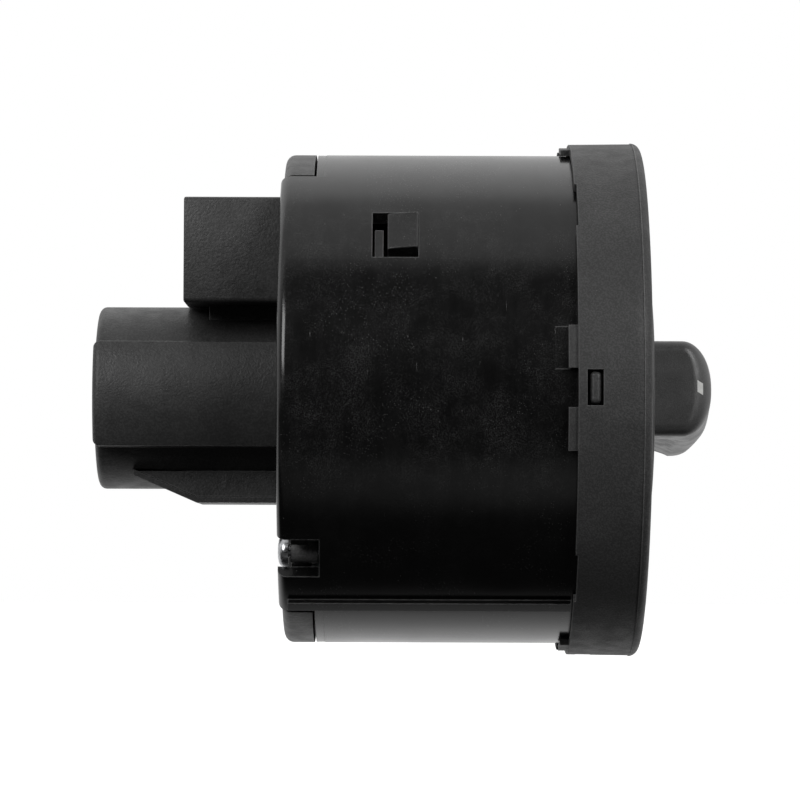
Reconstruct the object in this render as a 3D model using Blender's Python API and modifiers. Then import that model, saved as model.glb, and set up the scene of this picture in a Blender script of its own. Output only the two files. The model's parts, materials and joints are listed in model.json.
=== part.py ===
"""Round panel switch with a turn-push-pull knob and two plug sockets.

Frame: the origin is on the switch axis, in the plane where the bezel seats on
the panel. +X points out of the panel towards the knob and +Z is up. Angles
around the axis are measured from -Y towards +Z.
"""
import math

import bmesh
import bpy
from mathutils import Matrix, Vector

MM = 0.001
FULL_TURN = 2.0 * math.pi
GAP = 0.3 * MM                       # clearance between neighbouring pieces
OVER = 1.0 * MM                      # how far a cutter runs past a face

# Housing: a round cup, open to the rear
HOUSING_R = 32.3 * MM
HOUSING_WALL = 1.8 * MM
HOUSING_DEPTH = 37.6 * MM            # behind the panel seat
HOUSING_NOSE = 6.4 * MM              # in front of the panel seat, inside the bezel
FRONT_WALL_X = 2.0 * MM
FRONT_WALL_T = 2.0 * MM
REAR_ROUND = 1.2 * MM
ROUND_STEPS = 72
HOUSING_IN_R = HOUSING_R - HOUSING_WALL
REAR_X = -HOUSING_DEPTH

# Bezel: the ring that seats on the panel
BEZEL_DEPTH = 9.3 * MM
BEZEL_OVERHANG = 1.7 * MM            # how far it stands out past the housing
BEZEL_DRAFT = 0.2 * MM
BEZEL_FACE_T = 1.8 * MM
BEZEL_ROUND = 1.2 * MM
DIAL_R = 22.6 * MM                   # opening that shows the dial
BEZEL_R = HOUSING_R + BEZEL_OVERHANG
BEZEL_BORE_R = HOUSING_R + GAP

# Snap hooks of the housing in the slots of the bezel, and the tabs beside them
SLOT_X = 1.1 * MM
SLOT_LENGTH = 2.0 * MM
SLOT_WIDTH = 4.5 * MM
HOOK_PROUD = 1.0 * MM
TAB_REACH = 1.2 * MM
TAB_NEAR = 2.5 * MM
TAB_FAR = 8.1 * MM
TAB_T = 0.8 * MM
SNAP_ANGLES = [math.radians(a) for a in (0, 90, 180, 270)]

# Guide rib along the housing
RIB_ANGLE = math.radians(-57.8)
RIB_WIDTH = 3.2 * MM
RIB_PROUD = 0.7 * MM

# Rear cover: a recessed disc with two snap tongues
COVER_SINK = 1.6 * MM
COVER_T = 2.2 * MM
TONGUE_LENGTH = 4.0 * MM
TONGUE_HALF = 15.85 * MM
TONGUE_T = 2.5 * MM
COVER_REAR_X = REAR_X + COVER_SINK
COVER_FRONT_X = COVER_REAR_X + COVER_T

# Screws that hold the cover to the housing
SCREW_ANGLES = [math.radians(a) for a in (-46.4, 133.6, 213.6)]
SCREW_INSET = 2.4 * MM               # circle of the screws, in from the bore
SCREW_R = 0.75 * MM
SCREW_HEAD_R = 2.05 * MM
SCREW_HEAD_T = 1.3 * MM
SCREW_LENGTH = 8.0 * MM
LUG_R = 1.55 * MM
LUG_LENGTH = 3.2 * MM
BOSS_R = 1.7 * MM
BOSS_LENGTH = 6.0 * MM
LUG_CLEAR = 3.1 * MM
SCREW_NOTCH_ANGLE = math.radians(-41.5)
SCREW_NOTCH_LENGTH = 5.3 * MM
SCREW_CIRCLE_R = HOUSING_IN_R - SCREW_INSET
SCREW_HOLE_R = SCREW_R + GAP

# Sockets on the rear cover
SOCKET_FRONT_X = COVER_REAR_X - GAP
SOCKET_FLOOR_T = 2.2 * MM
ROUND_SOCKET_R = 12.07 * MM
ROUND_SOCKET_WALL = 1.4 * MM
ROUND_SOCKET_LENGTH = 25.6 * MM
ROUND_SOCKET_ROUND = 1.0 * MM
KEY_PROUD = 3.23 * MM
KEY_HALF = 6.8 * MM
RAMP_HALF = 8.0 * MM
RAMP_TIP_DEPTH = 0.47 * MM           # inside the round socket's radius
RAMP_DROP = 1.93 * MM                # below the round socket
RAMP_THICKNESS = 5.5 * MM
RAMP_TIP_FROM_MOUTH = 4.9 * MM
RAMP_SLOPE_LENGTH = 8.3 * MM
SADDLE_DEPTH = 0.27 * MM             # how far the block socket reaches down beside the round one
BLOCK_HALF = 14.6 * MM
BLOCK_EDGE_CLEAR = 0.42 * MM         # of the block socket's corners, in from the tongues
BLOCK_LENGTH = 13.9 * MM
BLOCK_WALL = 1.3 * MM
KEY_R = ROUND_SOCKET_R + KEY_PROUD
RAMP_TIP_Z = RAMP_TIP_DEPTH - ROUND_SOCKET_R
RAMP_LOW_Z = -ROUND_SOCKET_R - RAMP_DROP
RAMP_TOP_Z = RAMP_LOW_Z + RAMP_THICKNESS
BLOCK_LOW_Z = ROUND_SOCKET_R - SADDLE_DEPTH
BLOCK_REACH = HOUSING_R - TONGUE_T - BLOCK_EDGE_CLEAR
BLOCK_TOP_Z = math.sqrt(BLOCK_REACH ** 2 - BLOCK_HALF ** 2)
ROUND_SOCKET_X = SOCKET_FRONT_X - ROUND_SOCKET_LENGTH
BLOCK_SOCKET_X = SOCKET_FRONT_X - BLOCK_LENGTH
SOCKET_FLOOR_X = SOCKET_FRONT_X - SOCKET_FLOOR_T

# Terminal blades: (number in row, pitch, height of the row)
BLADE_T = 0.8 * MM
BLADE_WIDTH = 1.6 * MM
ROUND_BLADE_LENGTH = 13.5 * MM       # in front of the socket floor
BLOCK_BLADE_LENGTH = 6.0 * MM
ROUND_ROWS = [(3, 3.6 * MM, 5.0 * MM), (5, 3.6 * MM, 0.0), (3, 3.6 * MM, -5.0 * MM)]
BLOCK_ROW_SPACE = 5.0 * MM
BLOCK_MIDDLE_Z = (BLOCK_LOW_Z + BLOCK_TOP_Z) / 2.0
BLOCK_ROWS = [(4, 6.0 * MM, BLOCK_MIDDLE_Z + BLOCK_ROW_SPACE / 2.0),
              (4, 6.0 * MM, BLOCK_MIDDLE_Z - BLOCK_ROW_SPACE / 2.0)]

# Circuit board and contact carrier behind the rotor
BOARD_T = 1.6 * MM
CARRIER_LENGTH = 11.8 * MM
CARRIER_PLATE_T = 1.5 * MM
CARRIER_WALL = 1.5 * MM
BOARD_REAR_X = COVER_FRONT_X + GAP
BOARD_FRONT_X = BOARD_REAR_X + BOARD_T
CARRIER_REAR_X = BOARD_FRONT_X + GAP
CARRIER_FRONT_X = CARRIER_REAR_X + CARRIER_LENGTH
CARRIER_BACK_X = CARRIER_FRONT_X - CARRIER_PLATE_T

# Latches that hold the switch in the panel, and the ring that draws them in
LATCH_ANGLES = [math.radians(a) for a in (37.7, 217.7)]
LATCH_NAMES = ["latch_upper", "latch_lower"]
WINDOW_FROM_REAR = 11.9 * MM
WINDOW_LENGTH = 5.8 * MM
LATCH_LENGTH = 3.6 * MM
LATCH_WIDTH = 6.0 * MM
LATCH_SHIFT = 0.5 * MM               # the hook sits high in its window
WINDOW_SPARE = 1.6 * MM              # how much wider the window is than the hook
LATCH_PROUD = 0.8 * MM
LATCH_RAMP = 1.2 * MM
LATCH_DEPTH = 7.1 * MM
LATCH_TRAVEL = 1.5 * MM
LATCH_PIN_R = 0.9 * MM
LATCH_PIN_INSET = 2.9 * MM           # from the bore of the housing
RELEASE_TURN = math.radians(30.0)
RING_T = 1.7 * MM
RING_WIDTH = 5.5 * MM
RING_CLEAR = 0.5 * MM
SLOT_MARGIN = math.radians(4.0)
POST_T = 1.1 * MM
WINDOW_WIDTH = LATCH_WIDTH + WINDOW_SPARE
WINDOW_FRONT_X = REAR_X + WINDOW_FROM_REAR + WINDOW_LENGTH
LATCH_FRONT_X = WINDOW_FRONT_X - GAP
LATCH_PIN_R_AT = HOUSING_IN_R - LATCH_PIN_INSET
RING_REAR_X = LATCH_FRONT_X + GAP
RING_OUT_R = HOUSING_IN_R - RING_CLEAR
RING_IN_R = RING_OUT_R - RING_WIDTH
CARRIER_R = RING_IN_R - RING_CLEAR
BOARD_R = SCREW_CIRCLE_R - LUG_R - 2.0 * GAP - 0.4 * MM
RELEASE_WIRE_R = 0.3 * MM
RELEASE_SPRING_ARC = math.radians(250.0)

# Rotor: front boss, cam flange and drum
ROTOR_BOSS_R = 12.9 * MM
ROTOR_BOSS_REACH = 4.2 * MM          # in front of the front wall's rear face
FLANGE_R = 20.0 * MM
FLANGE_T = 6.7 * MM
DRUM_R = 14.0 * MM
CAM_NOTCHES = 8
CAM_NOTCH_R = 1.6 * MM
CAM_NOTCH_OFFSET = 0.6 * MM
BRIDGE_T = 1.2 * MM
BRIDGE_AT_R = 10.5 * MM
BRIDGE_LENGTH = 5.0 * MM
BRIDGE_WIDTH = 3.0 * MM
BRIDGE_ANGLES = [math.radians(a) for a in (0, 120, 240)]
ROTOR_BORE_R = ROTOR_BOSS_R + GAP
ROTOR_FRONT_X = FRONT_WALL_X + ROTOR_BOSS_REACH
FLANGE_FRONT_X = FRONT_WALL_X - GAP
FLANGE_REAR_X = FLANGE_FRONT_X - FLANGE_T
BRIDGE_REAR_X = CARRIER_FRONT_X + GAP
ROTOR_REAR_X = BRIDGE_REAR_X + BRIDGE_T + GAP

# Detent plunger in its pocket
DETENT_ANGLE = math.radians(135.0)
PLUNGER_SIDE = 3.0 * MM
DETENT_SPRING_SPACE = 3.7 * MM
POCKET_WALL = 1.3 * MM
POCKET_FLOOR = 1.3 * MM
POCKET_START = 2.5 * MM              # outside the cam flange
DETENT_COIL_R = 1.0 * MM
DETENT_WIRE_R = 0.2 * MM
PLUNGER_X = FLANGE_FRONT_X - 0.5 * FLANGE_T
PLUNGER_TIP_R = FLANGE_R + GAP
POCKET_END_R = HOUSING_IN_R - POCKET_FLOOR
PLUNGER_END_R = POCKET_END_R - DETENT_SPRING_SPACE

# Shaft, knob and pull slider
KNOB_ANGLE = math.radians(3.0)
SHAFT_SIDE = 6.0 * MM
SHAFT_IN_KNOB = 3.1 * MM
CARRIER_BORE_CLEAR = 0.76 * MM       # around the corners of the square shaft
COLLAR_PROUD = 1.76 * MM
COLLAR_T = 0.6 * MM
COLLAR_CLEAR = 0.4 * MM
NECK_R = 2.0 * MM
END_FLANGE_R = 2.9 * MM
END_FLANGE_T = 1.5 * MM
PULL_TRAVEL = 5.0 * MM
PUSH_TRAVEL = 2.0 * MM
SLIDER_T = 1.8 * MM
SLIDER_HALF_Y = 8.0 * MM
SLIDER_HALF_Z = 5.0 * MM
SLIDER_CLEAR = 0.9 * MM
RAIL_T = 1.5 * MM
RAIL_HALF = 3.0 * MM
KNOB_DISC_R = 16.5 * MM
KNOB_DISC_T = 1.1 * MM
KNOB_DISC_X = 9.6 * MM
KNOB_HALF_LENGTH = 14.6 * MM
KNOB_WIDTH = 12.4 * MM
KNOB_HEIGHT = 8.7 * MM               # rear face of the disc to the front of the grip
KNOB_ROUND = 2.6 * MM
MARK_WIDTH = 1.9 * MM
MARK_LENGTH = 1.6 * MM
MARK_DEPTH = 1.8 * MM
MARK_FROM_FRONT = 1.1 * MM
RETURN_COIL_INSET = 1.1 * MM         # of the coil, in from the collar's edge
RETURN_WIRE_R = 0.25 * MM
SHAFT_CORNER_R = SHAFT_SIDE / math.sqrt(2.0)
CARRIER_BORE_R = SHAFT_CORNER_R + CARRIER_BORE_CLEAR
COLLAR_R = SHAFT_CORNER_R + COLLAR_PROUD
RETURN_COIL_R = COLLAR_R - RETURN_COIL_INSET
SLIDER_FRONT_X = CARRIER_BACK_X - SLIDER_CLEAR - PULL_TRAVEL
SLIDER_REAR_X = SLIDER_FRONT_X - SLIDER_T
COLLAR_X = ROTOR_FRONT_X + COLLAR_CLEAR
KNOB_FRONT_X = KNOB_DISC_X + KNOB_HEIGHT

# Dial, light guide and lamps in front of the housing
GUIDE_T = 1.2 * MM
GUIDE_IN_R = 14.2 * MM
DIAL_T = 1.4 * MM
DIAL_EDGE = 1.0 * MM                 # radial clearance of the dial in the nose
LAMP_R = 1.5 * MM
LAMP_LENGTH = 5.5 * MM
LAMP_AT_R = 24.0 * MM
LAMP_ANGLES = [math.radians(a) for a in (0, 180)]
GUIDE_X = FRONT_WALL_X + FRONT_WALL_T + GAP
DIAL_X = GUIDE_X + GUIDE_T + GAP
DIAL_OUT_R = HOUSING_IN_R - DIAL_EDGE

MATERIALS = {
    "black_plastic": ((0.016, 0.016, 0.017), 0.32, 0.0),
    "grained_plastic": ((0.035, 0.036, 0.038), 0.58, 0.0),
    "knob_plastic": ((0.055, 0.056, 0.060), 0.50, 0.0),
    "socket_plastic": ((0.022, 0.022, 0.023), 0.45, 0.0),
    "dial_plastic": ((0.020, 0.020, 0.022), 0.60, 0.0),
    "natural_plastic": ((0.62, 0.60, 0.54), 0.45, 0.0),
    "clear_plastic": ((0.78, 0.82, 0.80), 0.15, 0.0),
    "white_print": ((0.80, 0.80, 0.78), 0.45, 0.0),
    "board_laminate": ((0.03, 0.16, 0.07), 0.45, 0.0),
    "zinc_steel": ((0.62, 0.63, 0.65), 0.28, 1.0),
    "tinned_brass": ((0.72, 0.70, 0.64), 0.26, 1.0),
    "contact_copper": ((0.80, 0.47, 0.28), 0.30, 1.0),
    "spring_steel": ((0.50, 0.51, 0.53), 0.30, 1.0),
    "lamp_glass": ((0.85, 0.80, 0.62), 0.10, 0.0),
}


def clear_scene():
    for obj in list(bpy.data.objects):
        bpy.data.objects.remove(obj)


def new_collection(name):
    collection = bpy.data.collections.new(name)
    bpy.context.scene.collection.children.link(collection)
    return collection


def get_material(name):
    found = bpy.data.materials.get(name)
    if found:
        return found
    color, roughness, metallic = MATERIALS[name]
    made = bpy.data.materials.new(name)
    made.use_nodes = True
    shader = made.node_tree.nodes["Principled BSDF"]
    shader.inputs["Base Color"].default_value = (*color, 1.0)
    shader.inputs["Roughness"].default_value = roughness
    shader.inputs["Metallic"].default_value = metallic
    made.diffuse_color = (*color, 1.0)
    return made


def place(data, name, finish):
    """An object in the parts collection, or among the cutters if it has no finish."""
    obj = bpy.data.objects.new(name, data)
    if finish is None:
        CUTTERS.objects.link(obj)
        obj.hide_render = True
        obj.display_type = "WIRE"
    else:
        PARTS.objects.link(obj)
        data.materials.append(get_material(finish))
    return obj


def around(angle, x, radius, sideways=0.0):
    """The point at a radius and an angle from the axis, shifted along the circle."""
    out = Vector((0.0, -math.cos(angle), math.sin(angle)))
    along = Vector((0.0, math.sin(angle), math.cos(angle)))
    return Vector((x, 0.0, 0.0)) + out * radius + along * sideways


def turned(name, profile, finish, steps=ROUND_STEPS):
    """Turn a profile of (x, radius) points about the axis.

    The outer side runs from front to rear. A profile that starts and ends on
    the axis stays open there, and any other is closed.
    """
    mesh = bpy.data.meshes.new(name)
    points = [(radius, 0.0, x) for x, radius in profile]
    edges = [(i, i + 1) for i in range(len(points) - 1)]
    if profile[0][1] > 0.0:
        edges.append((len(points) - 1, 0))
    mesh.from_pydata(points, edges, [])
    obj = place(mesh, name, finish)
    obj.rotation_euler = (0.0, math.pi / 2.0, 0.0)
    screw = obj.modifiers.new("turn", "SCREW")
    screw.axis = "Z"
    screw.angle = FULL_TURN
    screw.steps = steps
    screw.render_steps = steps
    screw.use_merge_vertices = True
    screw.merge_threshold = 0.001 * MM
    return obj


def disc(name, x_span, radius, finish, steps=ROUND_STEPS):
    low, high = x_span
    return turned(name, [(high, 0.0), (high, radius), (low, radius), (low, 0.0)], finish, steps)


def ring(name, x_span, r_span, finish, steps=ROUND_STEPS):
    low, high = x_span
    inner, outer = r_span
    return turned(name, [(high, outer), (low, outer), (low, inner), (high, inner)], finish, steps)


def block(name, x_span, r_span, t_span, finish, angle=0.0):
    """A block by its spans along the axis, outwards and along the circle."""
    spans = (x_span, r_span, t_span)
    size = [high - low for low, high in spans]
    middle = [(high + low) / 2.0 for low, high in spans]
    shape = bmesh.new()
    bmesh.ops.create_cube(shape, size=1.0, matrix=Matrix.Diagonal((*size, 1.0)))
    mesh = bpy.data.meshes.new(name)
    shape.to_mesh(mesh)
    shape.free()
    obj = place(mesh, name, finish)
    obj.location = around(angle, *middle)
    obj.rotation_euler = (-angle, 0.0, 0.0)
    return obj


def rods(name, x_span, radius, centres, finish, steps=24):
    """Round rods along X, one at each (y, z) centre."""
    low, high = x_span
    shape = bmesh.new()
    for y, z in centres:
        stand = Matrix.Translation(((low + high) / 2.0, y, z)) @ Matrix.Rotation(math.pi / 2.0, 4, "Y")
        bmesh.ops.create_cone(shape, cap_ends=True, segments=steps, radius1=radius,
                              radius2=radius, depth=high - low, matrix=stand)
    mesh = bpy.data.meshes.new(name)
    shape.to_mesh(mesh)
    shape.free()
    return place(mesh, name, finish)


def extruded(name, outlines, half, finish):
    """A mesh from flat closed outlines, extruded by half its thickness each way."""
    curve = bpy.data.curves.new(name, "CURVE")
    curve.dimensions = "2D"
    curve.fill_mode = "BOTH"
    curve.extrude = half
    for outline in outlines:
        spline = curve.splines.new("POLY")
        spline.points.add(len(outline) - 1)
        for point, (u, v) in zip(spline.points, outline):
            point.co = (u, v, 0.0, 1.0)
        spline.use_cyclic_u = True
    source = bpy.data.objects.new(name + "_outline", curve)
    CUTTERS.objects.link(source)
    bpy.context.view_layer.update()
    evaluated = source.evaluated_get(bpy.context.evaluated_depsgraph_get())
    mesh = bpy.data.meshes.new_from_object(evaluated)
    mesh.materials.clear()
    shape = bmesh.new()
    shape.from_mesh(mesh)
    bmesh.ops.remove_doubles(shape, verts=shape.verts, dist=0.001 * MM)
    bmesh.ops.recalc_face_normals(shape, faces=shape.faces)
    shape.to_mesh(mesh)
    shape.free()
    bpy.data.objects.remove(source)
    bpy.data.curves.remove(curve)
    return place(mesh, name, finish)


def side_plate(name, outline, t_span, finish, angle=0.0):
    """Extrude an outline of (x, radius) points along the circle's direction."""
    low, high = t_span
    flat = [(x, -radius) for x, radius in outline]
    obj = extruded(name, [flat], (high - low) / 2.0, finish)
    obj.location = around(angle, 0.0, 0.0, (low + high) / 2.0)
    obj.rotation_euler = (-angle, 0.0, 0.0)
    return obj


def face_plate(name, outlines, x_span, finish):
    """Extrude outlines of (y, z) points along the axis."""
    low, high = x_span
    obj = extruded(name, outlines, (high - low) / 2.0, finish)
    obj.location = ((low + high) / 2.0, 0.0, 0.0)
    obj.rotation_euler = (math.pi / 2.0, 0.0, math.pi / 2.0)
    return obj


def wire(name, points, wire_r, finish):
    curve = bpy.data.curves.new(name, "CURVE")
    curve.dimensions = "3D"
    curve.bevel_depth = wire_r
    curve.bevel_resolution = 2
    curve.use_fill_caps = True
    spline = curve.splines.new("POLY")
    spline.points.add(len(points) - 1)
    for point, place_at in zip(spline.points, points):
        point.co = (*place_at, 1.0)
    return place(curve, name, finish)


def coil(name, start, end, coil_r, wire_r, turns, finish, per_turn=10):
    """A wire coil whose middle line runs from start to end."""
    axis = (end - start).normalized()
    side = axis.orthogonal().normalized()
    other = axis.cross(side)
    count = int(turns * per_turn)
    points = []
    for i in range(count + 1):
        turn = FULL_TURN * turns * i / count
        spoke = side * math.cos(turn) + other * math.sin(turn)
        points.append(start.lerp(end, i / count) + spoke * coil_r)
    return wire(name, points, wire_r, finish)


def combine(target, operation, tools):
    """Cut the target by its tools, join them to it, or keep what they share."""
    for tool in tools:
        step = target.modifiers.new(tool.name, "BOOLEAN")
        step.operation = operation
        step.object = tool
    return target


def cut(target, *tools):
    return combine(target, "DIFFERENCE", tools)


def join(target, *tools):
    return combine(target, "UNION", tools)


def keep(target, *tools):
    return combine(target, "INTERSECT", tools)


def screw_centre(angle):
    centre = around(angle, 0.0, SCREW_CIRCLE_R)
    return centre.y, centre.z


def blade_centres(rows):
    """The (y, z) centre of each blade in the rows."""
    centres = []
    for count, pitch, height in rows:
        for i in range(count):
            centres.append(((i - (count - 1) / 2.0) * pitch, height))
    return centres


def blade_slots(name, rows, x_span):
    """One cutter with a slot for every blade, wider than the blade by the gap."""
    shape = bmesh.new()
    low, high = x_span
    size = (high - low, BLADE_WIDTH + 2.0 * GAP, BLADE_T + 2.0 * GAP)
    for y, z in blade_centres(rows):
        stand = Matrix.Translation(((low + high) / 2.0, y, z)) @ Matrix.Diagonal((*size, 1.0))
        bmesh.ops.create_cube(shape, size=1.0, matrix=stand)
    mesh = bpy.data.meshes.new(name)
    shape.to_mesh(mesh)
    shape.free()
    return place(mesh, name, None)


def make_housing():
    back = FRONT_WALL_X + FRONT_WALL_T
    profile = [(HOUSING_NOSE, HOUSING_R), (REAR_X + REAR_ROUND, HOUSING_R)]
    for i in (1, 2, 3):
        lean = i * math.pi / 6.0
        x = REAR_X + REAR_ROUND * (1.0 - math.sin(lean))
        profile.append((x, HOUSING_R - REAR_ROUND * (1.0 - math.cos(lean))))
    profile += [(REAR_X, HOUSING_IN_R), (FRONT_WALL_X, HOUSING_IN_R), (FRONT_WALL_X, ROTOR_BORE_R),
                (back, ROTOR_BORE_R), (back, HOUSING_IN_R), (HOUSING_NOSE, HOUSING_IN_R)]
    housing = turned("housing", profile, "black_plastic")
    wall = (HOUSING_IN_R + 0.4 * MM, HOUSING_R + RIB_PROUD)
    join(housing, block("rib_tool", (REAR_X + REAR_ROUND, -TAB_REACH - GAP), wall,
                        (-RIB_WIDTH / 2.0, RIB_WIDTH / 2.0), None, RIB_ANGLE))
    add_snap_hooks(housing)
    add_screw_bosses(housing)
    add_detent_pocket(housing)
    cut_windows(housing)
    cut_rear_notches(housing)
    lamp_centres = [around(a, 0.0, LAMP_AT_R).yz for a in LAMP_ANGLES]
    cut(housing, rods("lamp_hole_tool", (FRONT_WALL_X - OVER, back + OVER), LAMP_R + GAP,
                      lamp_centres, None))


def add_snap_hooks(housing):
    for i, angle in enumerate(SNAP_ANGLES):
        half = SLOT_WIDTH / 2.0 - GAP
        x_span = (SLOT_X + GAP, SLOT_X + SLOT_LENGTH - GAP)
        r_span = (HOUSING_R - 0.5 * MM, HOUSING_R + HOOK_PROUD)
        join(housing, block(f"hook_tool_{i}", x_span, r_span, (-half, half), None, angle))


def add_screw_bosses(housing):
    start = COVER_REAR_X + LUG_LENGTH + GAP
    x_span = (start, start + BOSS_LENGTH)
    for i, angle in enumerate(SCREW_ANGLES):
        web = block(f"web_tool_{i}", x_span, (SCREW_CIRCLE_R, HOUSING_IN_R + 0.6 * MM),
                    (-0.7 * BOSS_R, 0.7 * BOSS_R), None, angle)
        join(housing, web)
    centres = [screw_centre(angle) for angle in SCREW_ANGLES]
    join(housing, rods("boss_tool", x_span, BOSS_R, centres, None))
    cut(housing, rods("boss_hole_tool", (start - OVER, start + BOSS_LENGTH + OVER),
                      SCREW_HOLE_R, centres, None))


def add_detent_pocket(housing):
    half = PLUNGER_SIDE / 2.0 + GAP
    outer = half + POCKET_WALL
    pocket = block("pocket_tool", (PLUNGER_X - outer, FRONT_WALL_X + 0.5 * MM),
                   (FLANGE_R + POCKET_START, HOUSING_IN_R + 0.6 * MM), (-outer, outer), None,
                   DETENT_ANGLE)
    hollow = block("pocket_hole_tool", (PLUNGER_X - half, PLUNGER_X + half),
                   (FLANGE_R, POCKET_END_R), (-half, half), None, DETENT_ANGLE)
    join(housing, pocket)
    cut(housing, hollow)


def cut_windows(housing):
    """The two latch windows, each with a post beside the latch."""
    half = WINDOW_WIDTH / 2.0
    rear = WINDOW_FRONT_X - WINDOW_LENGTH
    for i, angle in enumerate(LATCH_ANGLES):
        cut(housing, block(f"window_tool_{i}", (rear, WINDOW_FRONT_X),
                           (HOUSING_IN_R - 2.0 * MM, HOUSING_R + OVER), (-half, half), None, angle))
    for i, angle in enumerate(LATCH_ANGLES):
        join(housing, block(f"post_tool_{i}", (rear + GAP, rear + GAP + POST_T),
                            (HOUSING_IN_R - 2.0 * MM, HOUSING_R - HOUSING_WALL * 0.45),
                            (-half - 1.4 * MM, 0.36 * half), None, angle))


def cut_rear_notches(housing):
    reach = HOUSING_R + OVER
    half = TONGUE_HALF + GAP
    x_span = (REAR_X - OVER, REAR_X + TONGUE_LENGTH + GAP)
    for i, angle in enumerate((math.pi / 2.0, -math.pi / 2.0)):
        cut(housing, block(f"tongue_notch_tool_{i}", x_span, (0.7 * reach, reach),
                           (-half, half), None, angle))
    cut(housing, block("screw_notch_tool", (REAR_X - OVER, REAR_X + SCREW_NOTCH_LENGTH),
                       (HOUSING_IN_R - OVER, reach), (-LUG_CLEAR, LUG_CLEAR), None,
                       SCREW_NOTCH_ANGLE))


def make_bezel():
    profile = []
    for i in range(4):
        lean = i * math.pi / 6.0
        profile.append((BEZEL_DEPTH - BEZEL_ROUND * (1.0 - math.cos(lean)),
                        BEZEL_R - BEZEL_ROUND * (1.0 - math.sin(lean))))
    lip = 0.5 * MM
    profile += [(0.0, BEZEL_R - BEZEL_DRAFT), (0.0, BEZEL_BORE_R),
                (BEZEL_DEPTH - BEZEL_FACE_T, BEZEL_BORE_R), (BEZEL_DEPTH - BEZEL_FACE_T, DIAL_R),
                (BEZEL_DEPTH - lip, DIAL_R), (BEZEL_DEPTH, DIAL_R + lip)]
    bezel = turned("bezel", profile, "grained_plastic")
    for i, angle in enumerate(SNAP_ANGLES):
        for side in (-1, 1):
            ends = sorted((side * TAB_NEAR, side * TAB_FAR))
            r_span = (BEZEL_BORE_R + 0.2 * MM, BEZEL_BORE_R + 0.2 * MM + TAB_T)
            join(bezel, block(f"tab_tool_{i}_{side}", (-TAB_REACH, 0.6 * MM), r_span, ends, None,
                              angle))
        half = SLOT_WIDTH / 2.0
        cut(bezel, block(f"slot_tool_{i}", (SLOT_X, SLOT_X + SLOT_LENGTH),
                         (HOUSING_R, BEZEL_R + OVER), (-half, half), None, angle))


def make_dial():
    ring("light_guide", (GUIDE_X, GUIDE_X + GUIDE_T), (GUIDE_IN_R, DIAL_OUT_R), "clear_plastic")
    ring("dial", (DIAL_X, DIAL_X + DIAL_T), (ROTOR_BORE_R + 0.2 * MM, DIAL_OUT_R), "dial_plastic")
    for name, angle in zip(("lamp_near", "lamp_far"), LAMP_ANGLES):
        front = FRONT_WALL_X + FRONT_WALL_T
        centre = around(angle, 0.0, LAMP_AT_R).yz
        rods(name, (front - LAMP_LENGTH, front), LAMP_R, [centre], "lamp_glass", 20)


def make_rear_cover():
    cover = disc("rear_cover", (COVER_REAR_X, COVER_FRONT_X), HOUSING_IN_R - GAP, "socket_plastic")
    rear = REAR_X
    profile = [(rear + TONGUE_LENGTH, HOUSING_R), (rear + REAR_ROUND, HOUSING_R),
               (rear, HOUSING_R - REAR_ROUND), (rear, HOUSING_R - TONGUE_T),
               (rear + TONGUE_LENGTH, HOUSING_R - TONGUE_T)]
    tongues = turned("tongue_tool", profile, None)
    reach = HOUSING_R + OVER
    keep(tongues, block("tongue_span_tool", (rear - OVER, 0.0), (-TONGUE_HALF, TONGUE_HALF),
                        (-reach, reach), None))
    join(cover, tongues)
    cover.modifiers[-1].solver = "MANIFOLD"
    x_span = (COVER_REAR_X - OVER, COVER_FRONT_X + OVER)
    for i, angle in enumerate(SCREW_ANGLES):
        cut(cover, block(f"lug_clear_tool_{i}", x_span,
                         (SCREW_CIRCLE_R - 0.6 * MM, HOUSING_IN_R + OVER),
                         (-LUG_CLEAR, LUG_CLEAR), None, angle))
    centres = [screw_centre(angle) for angle in SCREW_ANGLES]
    lug_end = COVER_REAR_X + LUG_LENGTH
    join(cover, rods("lug_tool", (COVER_REAR_X, lug_end), LUG_R, centres, None))
    cut(cover, rods("lug_hole_tool", (COVER_REAR_X - OVER, lug_end + OVER), SCREW_HOLE_R,
                    centres, None))
    cut(cover, blade_slots("cover_slots_tool", ROUND_ROWS + BLOCK_ROWS, x_span))


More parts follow.
